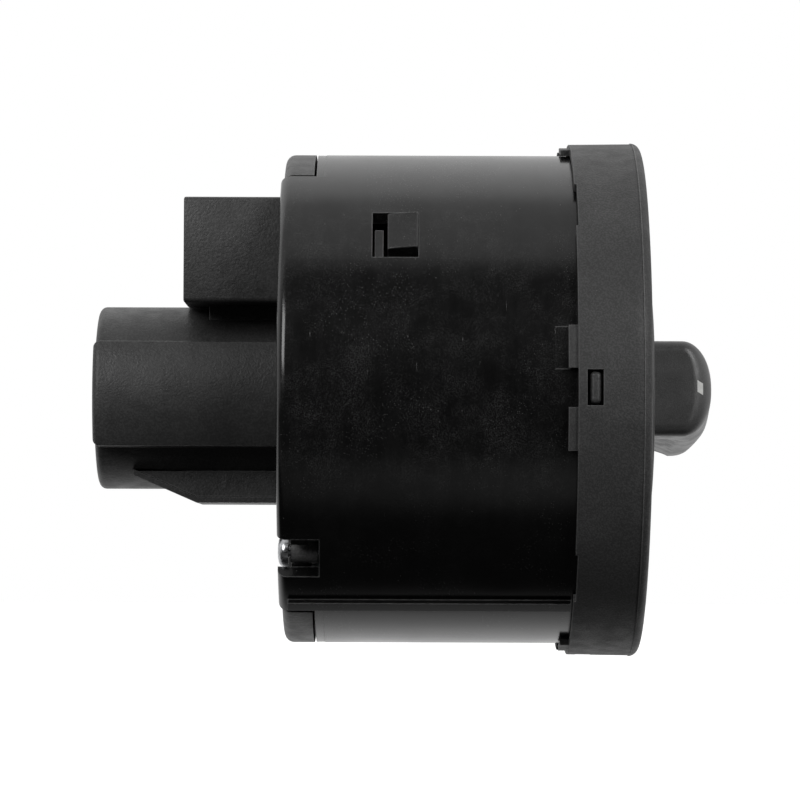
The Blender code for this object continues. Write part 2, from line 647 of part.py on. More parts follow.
def make_round_socket():
    x_span = (ROUND_SOCKET_X, SOCKET_FRONT_X)
    corner = ROUND_SOCKET_ROUND
    profile = [(SOCKET_FRONT_X, 0.0), (SOCKET_FRONT_X, ROUND_SOCKET_R),
               (ROUND_SOCKET_X + corner, ROUND_SOCKET_R),
               (ROUND_SOCKET_X + 0.3 * corner, ROUND_SOCKET_R - 0.3 * corner),
               (ROUND_SOCKET_X, ROUND_SOCKET_R - 0.7 * corner), (ROUND_SOCKET_X, 0.0)]
    socket = turned("round_socket", profile, "socket_plastic")
    keys = disc("key_tool", x_span, KEY_R, None)
    keep(keys, block("key_span_tool", (ROUND_SOCKET_X - OVER, SOCKET_FRONT_X + OVER),
                     (-KEY_R - OVER, KEY_R + OVER), (-KEY_HALF, KEY_HALF), None))
    tip = ROUND_SOCKET_X + RAMP_TIP_FROM_MOUTH
    outline = [(tip, RAMP_TOP_Z), (tip, RAMP_TIP_Z), (tip + RAMP_SLOPE_LENGTH, RAMP_LOW_Z),
               (SOCKET_FRONT_X, RAMP_LOW_Z), (SOCKET_FRONT_X, RAMP_TOP_Z)]
    downwards = [(x, -z) for x, z in outline]
    ramp = side_plate("ramp_tool", downwards, (-RAMP_HALF, RAMP_HALF), None, -math.pi / 2.0)
    join(socket, keys, ramp)
    bore_span = (ROUND_SOCKET_X - OVER, SOCKET_FLOOR_X)
    wall = ROUND_SOCKET_WALL
    bore = disc("socket_bore_tool", bore_span, ROUND_SOCKET_R - wall, None)
    key_bore = disc("key_bore_tool", bore_span, KEY_R - wall, None)
    half = KEY_HALF - wall
    keep(key_bore, block("key_bore_span_tool", (ROUND_SOCKET_X - 2.0 * OVER, SOCKET_FRONT_X),
                         (-KEY_R, KEY_R), (-half, half), None))
    slots = blade_slots("round_slots_tool", ROUND_ROWS,
                        (SOCKET_FLOOR_X - OVER, SOCKET_FRONT_X + OVER))
    cut(socket, bore, key_bore, slots)


def make_block_socket():
    socket = block("block_socket", (BLOCK_SOCKET_X, SOCKET_FRONT_X), (-BLOCK_HALF, BLOCK_HALF),
                   (BLOCK_LOW_Z, BLOCK_TOP_Z), "socket_plastic")
    x_span = (BLOCK_SOCKET_X - OVER, SOCKET_FRONT_X + OVER)
    saddle = disc("saddle_tool", x_span, ROUND_SOCKET_R + GAP, None)
    inner = BLOCK_HALF - BLOCK_WALL
    hollow = block("block_bore_tool", (BLOCK_SOCKET_X - OVER, SOCKET_FLOOR_X), (-inner, inner),
                   (BLOCK_LOW_Z + BLOCK_WALL, BLOCK_TOP_Z - BLOCK_WALL), None)
    slots = blade_slots("block_slots_tool", BLOCK_ROWS,
                        (SOCKET_FLOOR_X - OVER, SOCKET_FRONT_X + OVER))
    cut(socket, saddle, hollow, slots)


def make_blades(prefix, rows, length):
    x_span = (SOCKET_FLOOR_X - length, BOARD_REAR_X - GAP)
    for i, (y, z) in enumerate(blade_centres(rows)):
        block(f"{prefix}_{i + 1:02d}", x_span, (-y - BLADE_WIDTH / 2.0, -y + BLADE_WIDTH / 2.0),
              (z - BLADE_T / 2.0, z + BLADE_T / 2.0), "tinned_brass")


def make_screws():
    for i, angle in enumerate(SCREW_ANGLES):
        head_x = COVER_REAR_X - GAP
        centre = [screw_centre(angle)]
        screw = rods(f"cover_screw_{i + 1}", (head_x - SCREW_HEAD_T, head_x), SCREW_HEAD_R, centre,
                     "zinc_steel")
        shank = rods(f"shank_tool_{i}", (head_x - 0.5 * MM, COVER_REAR_X + SCREW_LENGTH), SCREW_R,
                     centre, None, 16)
        join(screw, shank)


def make_board_and_carrier():
    disc("circuit_board", (BOARD_REAR_X, BOARD_FRONT_X), BOARD_R, "board_laminate", 48)
    inner = CARRIER_R - CARRIER_WALL
    profile = [(CARRIER_FRONT_X, CARRIER_R), (CARRIER_REAR_X, CARRIER_R), (CARRIER_REAR_X, inner),
               (CARRIER_BACK_X, inner), (CARRIER_BACK_X, CARRIER_BORE_R),
               (CARRIER_FRONT_X, CARRIER_BORE_R)]
    carrier = turned("contact_carrier", profile, "natural_plastic", 48)
    rail = SLIDER_HALF_Y + GAP
    for i, angle in enumerate((0.0, math.pi)):
        join(carrier, block(f"rail_tool_{i}", (CARRIER_REAR_X, CARRIER_BACK_X + 0.5 * MM),
                            (rail, rail + RAIL_T), (-RAIL_HALF, RAIL_HALF), None, angle))


def make_latches():
    """Each latch hook has a pin that runs in a spiral slot of the release ring."""
    rear = LATCH_FRONT_X - LATCH_LENGTH
    top = HOUSING_R + LATCH_PROUD
    outline = [(rear, top - LATCH_RAMP), (LATCH_FRONT_X, top), (LATCH_FRONT_X, top - LATCH_DEPTH),
               (rear, top - LATCH_DEPTH)]
    half = LATCH_WIDTH / 2.0
    for name, angle in zip(LATCH_NAMES, LATCH_ANGLES):
        latch = side_plate(name, outline, (LATCH_SHIFT - half, LATCH_SHIFT + half),
                           "black_plastic", angle)
        pin = rods(name + "_pin_tool", (LATCH_FRONT_X - 0.4 * MM, RING_REAR_X + RING_T),
                   LATCH_PIN_R, [around(angle, 0.0, LATCH_PIN_R_AT).yz], None, 20)
        join(latch, pin)


def spiral_slot(angle):
    """Outline of a slot whose radius falls by the latch travel over the ring's turn.

    The ring turns clockwise seen from the front, so the slot runs the other way.
    """
    half = LATCH_PIN_R + GAP
    low = -SLOT_MARGIN
    high = RELEASE_TURN + SLOT_MARGIN
    outer = []
    inner = []
    steps = 12
    for i in range(steps + 1):
        turn = low + (high - low) * i / steps
        radius = LATCH_PIN_R_AT - LATCH_TRAVEL * turn / RELEASE_TURN
        at = angle - turn
        outer.append(around(at, 0.0, radius + half).yz)
        inner.append(around(at, 0.0, radius - half).yz)
    return [tuple(point) for point in outer + inner[::-1]]


def make_release_ring():
    x_span = (RING_REAR_X, RING_REAR_X + RING_T)
    release = ring("release_ring", x_span, (RING_IN_R, RING_OUT_R), "natural_plastic")
    for i, angle in enumerate(LATCH_ANGLES):
        cut(release, face_plate(f"spiral_tool_{i}", [spiral_slot(angle)],
                                (x_span[0] - OVER, x_span[1] + OVER), None))
    steps = 36
    x = x_span[1] + GAP + RELEASE_WIRE_R
    radius = (RING_IN_R + RING_OUT_R) / 2.0
    points = [around(RELEASE_SPRING_ARC * i / steps, x, radius) for i in range(steps + 1)]
    wire("release_spring", points, RELEASE_WIRE_R, "spring_steel")


def make_rotor():
    profile = [(ROTOR_FRONT_X, 0.0), (ROTOR_FRONT_X, ROTOR_BOSS_R), (FLANGE_FRONT_X, ROTOR_BOSS_R),
               (FLANGE_FRONT_X, FLANGE_R), (FLANGE_REAR_X, FLANGE_R), (FLANGE_REAR_X, DRUM_R),
               (ROTOR_REAR_X, DRUM_R), (ROTOR_REAR_X, 0.0)]
    rotor = turned("rotor", profile, "natural_plastic")
    half = SHAFT_SIDE / 2.0 + GAP
    bore = block("rotor_bore_tool", (ROTOR_REAR_X - OVER, ROTOR_FRONT_X + OVER), (-half, half),
                 (-half, half), None, KNOB_ANGLE)
    notches = []
    for i in range(CAM_NOTCHES):
        angle = DETENT_ANGLE + i * FULL_TURN / CAM_NOTCHES
        notches.append(around(angle, 0.0, FLANGE_R + CAM_NOTCH_OFFSET).yz)
    cams = rods("cam_tool", (FLANGE_REAR_X - OVER, FLANGE_FRONT_X + OVER), CAM_NOTCH_R, notches,
                None)
    cut(rotor, bore, cams)
    side = BRIDGE_WIDTH / 2.0
    for i, angle in enumerate(BRIDGE_ANGLES):
        r_span = (BRIDGE_AT_R - BRIDGE_LENGTH / 2.0, BRIDGE_AT_R + BRIDGE_LENGTH / 2.0)
        block(f"contact_bridge_{i + 1}", (BRIDGE_REAR_X, BRIDGE_REAR_X + BRIDGE_T), r_span,
              (-side, side), "contact_copper", angle)


def make_detent():
    half = PLUNGER_SIDE / 2.0
    x_span = (PLUNGER_X - half, PLUNGER_X + half)
    nose = PLUNGER_TIP_R + half
    plunger = block("detent_plunger", x_span, (nose, PLUNGER_END_R), (-half, half),
                    "natural_plastic",
                    DETENT_ANGLE)
    inset = 0.05 * MM
    tip = rods("plunger_tip_tool", (x_span[0] + inset, x_span[1] - inset), half - inset,
               [around(DETENT_ANGLE, 0.0, nose).yz], None, 20)
    join(plunger, tip)
    start = around(DETENT_ANGLE, PLUNGER_X, PLUNGER_END_R + GAP + DETENT_WIRE_R)
    stop = around(DETENT_ANGLE, PLUNGER_X, POCKET_END_R - GAP - DETENT_WIRE_R)
    coil("detent_spring", start, stop, DETENT_COIL_R, DETENT_WIRE_R, 4, "spring_steel", 8)


def make_shaft():
    half = SHAFT_SIDE / 2.0
    shoulder = SLIDER_FRONT_X + GAP
    flange_x = SLIDER_REAR_X - GAP
    shaft = block("knob_shaft", (shoulder, KNOB_DISC_X + SHAFT_IN_KNOB), (-half, half),
                  (-half, half), "natural_plastic", KNOB_ANGLE)
    centre = [(0.0, 0.0)]
    neck = rods("neck_tool", (flange_x - 0.5 * MM, shoulder + 0.5 * MM), NECK_R, centre, None, 20)
    flange = rods("end_flange_tool", (flange_x - END_FLANGE_T, flange_x), END_FLANGE_R, centre,
                  None)
    collar = rods("collar_tool", (COLLAR_X, COLLAR_X + COLLAR_T), COLLAR_R, centre, None, 32)
    join(shaft, neck, flange, collar)
    slack = GAP + RETURN_WIRE_R
    coil("return_spring", Vector((COLLAR_X + COLLAR_T + slack, 0.0, 0.0)),
         Vector((KNOB_DISC_X - slack, 0.0, 0.0)), RETURN_COIL_R, RETURN_WIRE_R, 2, "spring_steel",
         14)


def make_slider():
    x_span = (SLIDER_REAR_X, SLIDER_FRONT_X)
    slider = block("pull_slider", x_span, (-SLIDER_HALF_Y, SLIDER_HALF_Y),
                   (-SLIDER_HALF_Z, SLIDER_HALF_Z), "natural_plastic")
    cut(slider, rods("slider_hole_tool", (x_span[0] - OVER, x_span[1] + OVER), NECK_R + GAP,
                     [(0.0, 0.0)], None, 20))


def make_knob():
    half = KNOB_WIDTH / 2.0
    grip = block("knob", (KNOB_DISC_X + 0.4 * MM, KNOB_FRONT_X),
                 (-KNOB_HALF_LENGTH, KNOB_HALF_LENGTH), (-half, half), "knob_plastic", KNOB_ANGLE)
    bevel = grip.modifiers.new("rounding", "BEVEL")
    bevel.width = KNOB_ROUND
    bevel.segments = 4
    join(grip, disc("knob_disc_tool", (KNOB_DISC_X, KNOB_DISC_X + KNOB_DISC_T), KNOB_DISC_R, None))
    bore = SHAFT_SIDE / 2.0 + GAP
    end = KNOB_DISC_X + SHAFT_IN_KNOB + PUSH_TRAVEL + GAP
    socket = block("knob_socket_tool", (KNOB_DISC_X - OVER, end), (-bore, bore), (-bore, bore),
                   None, KNOB_ANGLE)
    front = KNOB_FRONT_X - MARK_FROM_FRONT
    x_span = (front - MARK_LENGTH, front)
    end_r = KNOB_HALF_LENGTH - GAP
    side = MARK_WIDTH / 2.0
    pocket = block("mark_pocket_tool", (x_span[0] - GAP, KNOB_FRONT_X + OVER),
                   (end_r - MARK_DEPTH - GAP, KNOB_HALF_LENGTH + OVER),
                   (-side - GAP, side + GAP), None, KNOB_ANGLE)
    cut(grip, socket, pocket)
    block("pointer_mark", x_span, (end_r - MARK_DEPTH, end_r), (-side, side), "white_print",
          KNOB_ANGLE)


def bake_shapes():
    """Apply each mesh part's modifiers and shade it smooth across its round faces."""
    bpy.context.view_layer.update()
    depsgraph = bpy.context.evaluated_depsgraph_get()
    baked = {}
    for obj in PARTS.objects:
        if obj.type == "MESH":
            baked[obj] = bpy.data.meshes.new_from_object(obj.evaluated_get(depsgraph))
    for obj, mesh in baked.items():
        obj.modifiers.clear()
        obj.data = mesh
        mesh.name = obj.name
        mesh.shade_smooth()
        mesh.set_sharp_from_angle(angle=math.radians(30.0))


clear_scene()
PARTS = new_collection("rotary_panel_switch")
CUTTERS = new_collection("cutters")
make_housing()
make_bezel()
make_dial()
make_rear_cover()
make_round_socket()
make_block_socket()
make_blades("round_terminal", ROUND_ROWS, ROUND_BLADE_LENGTH)
make_blades("block_terminal", BLOCK_ROWS, BLOCK_BLADE_LENGTH)
make_screws()
make_board_and_carrier()
make_latches()
make_release_ring()
make_rotor()
make_detent()
make_shaft()
make_slider()
make_knob()
bake_shapes()
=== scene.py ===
"""Looks of the rotary panel switch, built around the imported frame.

Everything is in metres in the CAD's frame: X along the switch axis towards the
knob, Z up. Angles around the axis are measured from -Y towards +Z.
"""
import json
import math

import bmesh
import bpy
from mathutils import Matrix, Vector
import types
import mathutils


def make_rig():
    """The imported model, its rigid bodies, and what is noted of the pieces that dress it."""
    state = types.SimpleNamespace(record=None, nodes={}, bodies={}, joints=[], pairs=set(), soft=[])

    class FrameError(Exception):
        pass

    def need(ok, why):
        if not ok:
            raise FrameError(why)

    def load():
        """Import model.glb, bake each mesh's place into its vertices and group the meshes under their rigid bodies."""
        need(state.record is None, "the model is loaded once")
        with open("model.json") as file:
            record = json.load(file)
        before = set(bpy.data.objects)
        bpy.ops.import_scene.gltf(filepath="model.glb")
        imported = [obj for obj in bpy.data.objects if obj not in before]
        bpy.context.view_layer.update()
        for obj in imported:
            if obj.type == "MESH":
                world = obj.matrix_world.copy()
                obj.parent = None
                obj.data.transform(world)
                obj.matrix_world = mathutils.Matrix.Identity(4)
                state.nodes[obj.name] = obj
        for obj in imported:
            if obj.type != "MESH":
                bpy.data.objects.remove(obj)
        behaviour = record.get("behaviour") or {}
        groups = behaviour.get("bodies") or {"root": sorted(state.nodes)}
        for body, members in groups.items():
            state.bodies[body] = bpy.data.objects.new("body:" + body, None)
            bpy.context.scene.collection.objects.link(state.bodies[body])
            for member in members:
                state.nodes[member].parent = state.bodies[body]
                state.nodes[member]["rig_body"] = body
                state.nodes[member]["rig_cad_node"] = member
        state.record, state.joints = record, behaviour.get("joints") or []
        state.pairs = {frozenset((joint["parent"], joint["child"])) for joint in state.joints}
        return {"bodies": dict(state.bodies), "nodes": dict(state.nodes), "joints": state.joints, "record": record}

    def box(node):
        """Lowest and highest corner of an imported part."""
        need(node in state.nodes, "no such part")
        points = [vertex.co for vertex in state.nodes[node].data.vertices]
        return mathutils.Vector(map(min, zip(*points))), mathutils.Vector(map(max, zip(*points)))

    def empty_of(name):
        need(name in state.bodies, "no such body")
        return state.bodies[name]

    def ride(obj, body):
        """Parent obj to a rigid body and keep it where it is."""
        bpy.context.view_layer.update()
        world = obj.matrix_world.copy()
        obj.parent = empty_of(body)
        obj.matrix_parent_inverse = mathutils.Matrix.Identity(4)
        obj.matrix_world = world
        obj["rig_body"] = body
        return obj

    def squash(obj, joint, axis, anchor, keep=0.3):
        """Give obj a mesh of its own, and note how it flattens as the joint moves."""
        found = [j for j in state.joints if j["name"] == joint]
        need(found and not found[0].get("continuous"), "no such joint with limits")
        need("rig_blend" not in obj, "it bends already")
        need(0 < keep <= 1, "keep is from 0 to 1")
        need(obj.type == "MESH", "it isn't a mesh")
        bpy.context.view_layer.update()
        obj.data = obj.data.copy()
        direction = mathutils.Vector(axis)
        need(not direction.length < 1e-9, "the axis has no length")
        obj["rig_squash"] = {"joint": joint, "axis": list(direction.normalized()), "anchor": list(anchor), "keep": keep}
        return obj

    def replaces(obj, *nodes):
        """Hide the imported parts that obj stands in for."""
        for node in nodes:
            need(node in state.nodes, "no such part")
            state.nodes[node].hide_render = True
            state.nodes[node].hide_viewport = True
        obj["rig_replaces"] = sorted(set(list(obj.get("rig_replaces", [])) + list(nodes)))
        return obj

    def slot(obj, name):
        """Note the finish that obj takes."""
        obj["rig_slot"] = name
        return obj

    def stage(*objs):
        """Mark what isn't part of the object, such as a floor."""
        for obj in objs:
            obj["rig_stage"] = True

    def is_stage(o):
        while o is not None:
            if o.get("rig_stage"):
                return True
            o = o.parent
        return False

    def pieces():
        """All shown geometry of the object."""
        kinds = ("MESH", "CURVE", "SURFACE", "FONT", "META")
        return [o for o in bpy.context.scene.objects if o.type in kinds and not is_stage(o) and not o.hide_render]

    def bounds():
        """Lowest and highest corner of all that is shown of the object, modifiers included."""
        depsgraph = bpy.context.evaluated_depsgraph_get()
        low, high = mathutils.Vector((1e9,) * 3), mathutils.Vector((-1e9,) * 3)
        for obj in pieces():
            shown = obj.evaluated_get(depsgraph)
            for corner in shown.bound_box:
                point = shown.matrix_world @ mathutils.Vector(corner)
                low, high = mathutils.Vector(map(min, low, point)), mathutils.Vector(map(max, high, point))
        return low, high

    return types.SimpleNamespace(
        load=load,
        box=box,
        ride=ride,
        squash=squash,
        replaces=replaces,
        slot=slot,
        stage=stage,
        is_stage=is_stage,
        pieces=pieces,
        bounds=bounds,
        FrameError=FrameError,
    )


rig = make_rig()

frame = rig.load()
CAD_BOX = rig.bounds()

MM = 0.001
FULL_TURN = 2.0 * math.pi
QUARTER = math.pi / 2.0


# ---------------------------------------------------------------- places from the frame
def span_x(node):
    low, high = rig.box(node)
    return low.x, high.x


HOUSING_REAR, HOUSING_NOSE = span_x("housing")
BEZEL_TAB_X, BEZEL_FRONT = span_x("bezel")
BEZEL_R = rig.box("bezel")[1].z
SNAP_PROUD = 1.0 * MM
HOUSING_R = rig.box("housing")[1].z - SNAP_PROUD
HOUSING_WALL = 1.8 * MM
HOUSING_IN_R = HOUSING_R - HOUSING_WALL
GAP = 0.3 * MM
BEZEL_BORE_R = HOUSING_R + GAP
BEZEL_REAR_R = BEZEL_R - 0.2 * MM
LATCH_REAR, LATCH_PIN_END = span_x("latch_upper")
LATCH_FRONT = LATCH_REAR + 3.6 * MM
WINDOW_FRONT = LATCH_FRONT + GAP
WINDOW_REAR = WINDOW_FRONT - 5.8 * MM
TONGUE_REAR, TONGUE_FRONT = HOUSING_REAR + 0.4 * MM, HOUSING_REAR + 4.6 * MM
LATCH_ANGLES = {"latch_upper": math.radians(37.7), "latch_lower": math.radians(217.7)}
SCREW_NOTCH = (math.radians(-47.0), math.radians(-36.0))
SCREW_NOTCH_FRONT = HOUSING_REAR + 5.3 * MM
TONGUE_HALF = 15.85 * MM
SCREW_ANGLES = [math.radians(angle) for angle in (-46.4, 133.6, 213.6)]
RIB_SPAN = (math.radians(-57.9), math.radians(-55.0))
RIB_GROOVE = (math.radians(-59.2), math.radians(-57.9))
KNOB_ANGLE = math.radians(3.8)
SLOT_X = (1.1 * MM, 3.1 * MM)
SLOT_HALF = 2.25 * MM
TAB_NEAR, TAB_FAR = 2.5 * MM, 8.1 * MM
SNAP_ANGLES = [0.0, QUARTER, math.pi, -QUARTER]
ANGLE_STEP = math.radians(1.5)
CORNER_R = 1.2 * MM
WINDOW_HALF = 3.8 * MM
KNOB_WELL_R = 13.4 * MM
DIAL_BORE_R = 22.6 * MM
MARK_ANGLES = [math.radians(angle) for angle in (-45.0, 0.0, 45.0, 90.0)]
MARK_R = (16.9 * MM, 18.2 * MM)
NUMERAL_R, NUMERAL_SIZE = 20.0 * MM, 3.1 * MM
DOT_PLACE_R, DOT_R = 19.9 * MM, 0.55 * MM
PRINT_T = 0.06 * MM
SOCKET_FLOOR_T = 2.2 * MM
DETENT_ANGLE = math.radians(135.0)
DETENT_SPACE = 3.7 * MM
COLLAR_FACE_X = 7.2 * MM


# ---------------------------------------------------------------- node materials
class Nodes:
    """Short calls for the nodes of one tree."""

    def __init__(self, tree, coords):
        self.tree = tree
        self.coords = tree.nodes.new("ShaderNodeTexCoord").outputs[coords]

    def add(self, kind, settings=None, **inputs):
        node = self.tree.nodes.new("ShaderNode" + kind)
        for key, value in (settings or {}).items():
            setattr(node, key, value)
        for key, value in inputs.items():
            self.put(node.inputs[key.replace("_", " ")], value)
        return node

    def put(self, socket, value):
        if isinstance(value, bpy.types.NodeSocket):
            self.tree.links.new(value, socket)
        else:
            socket.default_value = value

    def stretched(self, x=1.0, y=1.0, z=1.0):
        """Coordinates in millimetres, scaled along each axis."""
        node = self.add("Mapping", Vector=self.coords)
        node.inputs["Scale"].default_value = (x / MM, y / MM, z / MM)
        return node.outputs["Vector"]

    def wrapped(self, along=1.0, around=1.0):
        """Millimetres along and around the axis, so that marks follow the cylinder."""
        split = self.add("SeparateXYZ", Vector=self.coords)
        y = self.math("MULTIPLY", split.outputs["Y"], -1.0)
        turn = self.math("ARCTAN2", split.outputs["Z"], y)
        joined = self.tree.nodes.new("ShaderNodeCombineXYZ")
        self.put(joined.inputs[0], self.math("MULTIPLY", split.outputs["X"], along / MM))
        self.put(joined.inputs[1], self.math("MULTIPLY", turn, around * HOUSING_R / MM))
        return joined.outputs[0]

    def noise(self, scale, detail=3.0, roughness=0.55, vector=None, distortion=0.0):
        vector = vector or self.stretched()
        return self.add("TexNoise", Vector=vector, Scale=scale, Detail=detail,
                        Roughness=roughness, Distortion=distortion).outputs["Fac"]

    def cells(self, scale):
        node = self.add("TexVoronoi", Vector=self.stretched(), Scale=scale)
        return node.outputs["Distance"]

    def ramp(self, value, low, high, out_low=0.0, out_high=1.0, smooth=True):
        node = self.add("MapRange", {"interpolation_type": "SMOOTHSTEP" if smooth else "LINEAR"},
                        Value=value)
        limits = (("From Min", low), ("From Max", high), ("To Min", out_low), ("To Max", out_high))
        for key, limit in limits:
            node.inputs[key].default_value = limit
        return node.outputs["Result"]

    def math(self, operation, first, second=0.0):
        node = self.tree.nodes.new("ShaderNodeMath")
        node.operation = operation
        self.put(node.inputs[0], first)
        self.put(node.inputs[1], second)
        return node.outputs[0]

    def mix(self, factor, first, second):
        node = self.tree.nodes.new("ShaderNodeMix")
        node.data_type = "RGBA"
        self.put(node.inputs[0], factor)
        self.put(node.inputs[6], first)
        self.put(node.inputs[7], second)
        return node.outputs[2]

    def worn_and_highlit_edges(self, radius):
        """Where the surface turns sharply within a radius, broken up a little: the mask for lighter worn edges, which
        also paint edge highlights.
        """
        soft = self.add("Bevel", {"samples": 4}, Radius=radius).outputs["Normal"]
        true = self.add("NewGeometry").outputs["Normal"]
        dot = self.tree.nodes.new("ShaderNodeVectorMath")
        dot.operation = "DOT_PRODUCT"
        self.put(dot.inputs[0], soft)
        self.put(dot.inputs[1], true)
        edge = self.ramp(dot.outputs["Value"], 0.985, 0.86)
        chips = self.ramp(self.noise(1.7, 4.0, 0.7), 0.32, 0.60, 0.5, 1.0)
        return self.math("MULTIPLY", edge, chips)

    def bump(self, height, distance, strength=1.0, normal=None):
        node = self.add("Bump", Height=height, Distance=distance, Strength=strength)
        if normal is not None:
            self.put(node.inputs["Normal"], normal)
        return node.outputs["Normal"]

    def split_rays(self, unseen, seen, output):
        """Show one shader to the camera and another to every other ray."""
        camera = self.add("LightPath").outputs["Is Camera Ray"]
        mixer = self.add("MixShader", Fac=camera)
        self.put(mixer.inputs[1], unseen.outputs[0])
        self.put(mixer.inputs[2], seen.outputs[0])
        self.put(self.tree.nodes[output].inputs["Surface"], mixer.outputs[0])


class Shader(Nodes):
    """A material with a Principled shader."""

    def __init__(self, name):
        self.material = bpy.data.materials.new(name)
        self.material.use_nodes = True
        super().__init__(self.material.node_tree, "Object")
        self.bsdf = self.tree.nodes["Principled BSDF"]

    def set(self, **inputs):
        for key, value in inputs.items():
            self.put(self.bsdf.inputs[key.replace("_", " ")], value)


def grey(level, warm=0.0):
    return (level * (1.0 + warm), level, level * (1.0 - warm), 1.0)


def specks(shader, per_mm, size, patch_scale, patch_low, patch_high):
    """Small dots of dust, thicker in some patches than in others."""
    dots = shader.cells(per_mm)
    dot = shader.ramp(dots, size, size * 0.45, 0.0, 1.0)
    patch = shader.ramp(shader.noise(patch_scale, 2.0), patch_low, patch_high)
    return shader.math("MULTIPLY", dot, patch)


def housing_plastic():
    """Polished black moulding under a fine film of dust, with wiped and scuffed patches; the film is thinned towards
    the bottom as painted shade, and lighter worn edges also paint edge highlights.
    """
    s = Shader("black_plastic")
    broad = s.ramp(s.noise(0.09, 4.0, 0.6, distortion=0.3), 0.34, 0.66)
    patch = s.ramp(s.noise(0.30, 5.0, 0.7), 0.36, 0.66)
    grit = s.ramp(s.noise(6.0, 6.0, 0.95), 0.45, 0.64)
    wiped = s.ramp(s.noise(1.0, 4.0, 0.7, s.wrapped(0.5, 0.09)), 0.40, 0.75)
    hair = s.ramp(s.noise(1.0, 2.0, 0.6, s.wrapped(7.5, 0.22)), 0.725, 0.765)
    fine = specks(s, 3.2, 0.16, 0.12, 0.46, 0.62)
    coarse = specks(s, 0.8, 0.065, 0.07, 0.42, 0.60)
    dust = s.math("MAXIMUM", fine, coarse)
    cloud = s.math("MULTIPLY", s.math("ADD", s.math("MULTIPLY", broad, 0.6), 0.4),
                   s.math("ADD", s.math("MULTIPLY", patch, 0.7), 0.3))
    film = s.math("MULTIPLY", grit, cloud)
    film = s.math("ADD", film, s.math("MULTIPLY", wiped, 0.10))
    height = s.add("SeparateXYZ", Vector=s.coords).outputs["Z"]
    # The film thins towards the bottom: painted shade, the housing darker towards the bottom.
    painted_bottom_shade = s.ramp(height, -17.0 * MM, -9.0 * MM, 0.25, 1.0)
    film = s.math("MULTIPLY", film, painted_bottom_shade)
    colour = s.mix(film, grey(0.0025), grey(0.046))
    colour = s.mix(s.math("MULTIPLY", hair, 0.25), colour, grey(0.08))
    colour = s.mix(s.math("MULTIPLY", dust, 0.40), colour, grey(0.20, 0.02))
    # Lighter worn edges, which also paint bright edge highlights.
    edge = s.worn_and_highlit_edges(0.28 * MM)
    colour = s.mix(s.math("MULTIPLY", edge, 0.8), colour, grey(0.16))
    rough = s.math("ADD", s.ramp(broad, 0.0, 1.0, 0.17, 0.22, False),
                   s.math("MULTIPLY", s.math("MAXIMUM", dust, edge), 0.25))
    wave = s.bump(s.noise(0.10, 2.0), 0.05 * MM, 0.4)
    skin = s.bump(s.noise(4.0, 4.0, 0.6), 0.003 * MM, 0.5, wave)
    marks = s.math("MAXIMUM", dust, hair)
    s.set(Base_Color=colour, Roughness=rough, Normal=s.bump(marks, 0.008 * MM, 0.6, skin))
    s.set(IOR=1.5)
    return s.material


def grained(name, base, rough, grain_per_mm, depth, wear=0.012, gloss=0.5):
    """Spark-eroded mould grain: fine even pits, slightly lighter where handled, with lighter edges that are partly wear
    and partly painted highlight.
    """
    s = Shader(name)
    pits = s.noise(grain_per_mm, 2.0, 0.5)
    grain = s.math("ADD", pits, s.math("MULTIPLY", s.noise(grain_per_mm * 0.45, 3.0), 0.6))
    handled = s.ramp(s.noise(0.12, 4.0, 0.6), 0.42, 0.70)
    tone = s.mix(handled, grey(base), grey(base + wear))
    tone = s.mix(s.ramp(pits, 0.42, 0.62), s.mix(0.35, tone, grey(0.004)), tone)
    dust = specks(s, 1.6, 0.12, 0.15, 0.52, 0.68)
    colour = s.mix(s.math("MULTIPLY", dust, 0.5), tone, grey(0.22, 0.02))
    # Lighter worn edges, partly wear and partly painted edge highlight.
    colour = s.mix(s.math("MULTIPLY", s.worn_and_highlit_edges(0.22 * MM), 0.70), colour, grey(0.19))
    s.set(Base_Color=colour, IOR=1.5, Specular_IOR_Level=gloss,
          Roughness=s.ramp(s.noise(0.5, 3.0), 0.3, 0.7, rough - 0.05, rough + 0.06),
          Normal=s.bump(grain, depth, 0.9))
    return s.material


def darker(colour, share):
    return tuple(c * share for c in colour[:3]) + (1.0,)


def plain_plastic(name, colour, rough, scale=0.4):
    """Smooth technical moulding with slight flow marks."""
    s = Shader(name)
    flow = s.noise(scale, 4.0, 0.6, distortion=0.4)
    s.set(Base_Color=s.mix(s.ramp(flow, 0.3, 0.7), darker(colour, 0.82), colour), IOR=1.5,
          Roughness=s.ramp(s.noise(1.2, 3.0), 0.3, 0.7, rough - 0.05, rough + 0.08),
          Normal=s.bump(s.noise(4.0, 3.0), 0.006 * MM, 0.6))
    return s.material


def metal(name, colour, rough, along=(0.3, 3.0, 3.0)):
    """Plated or drawn metal with fine draw marks and uneven tone."""
    s = Shader(name)
    grain = s.noise(2.0, 3.0, 0.6, s.stretched(*along))
    cloud = s.noise(0.8, 3.0)
    tone = s.mix(s.ramp(cloud, 0.35, 0.65), darker(colour, 0.62), colour)
    s.set(Metallic=1.0, Base_Color=tone,
          Roughness=s.ramp(grain, 0.3, 0.7, rough - 0.06, rough + 0.12),
          Normal=s.bump(grain, 0.006 * MM, 0.6))
    return s.material


def clear_plastic(name, colour, rough):
    s = Shader(name)
    s.set(Base_Color=s.mix(s.ramp(s.noise(0.4), 0.3, 0.7), grey(0.75), colour),
          Roughness=s.ramp(s.noise(1.0), 0.3, 0.7, rough, rough + 0.1))
    s.set(Transmission_Weight=0.85, IOR=1.49)
    return s.material


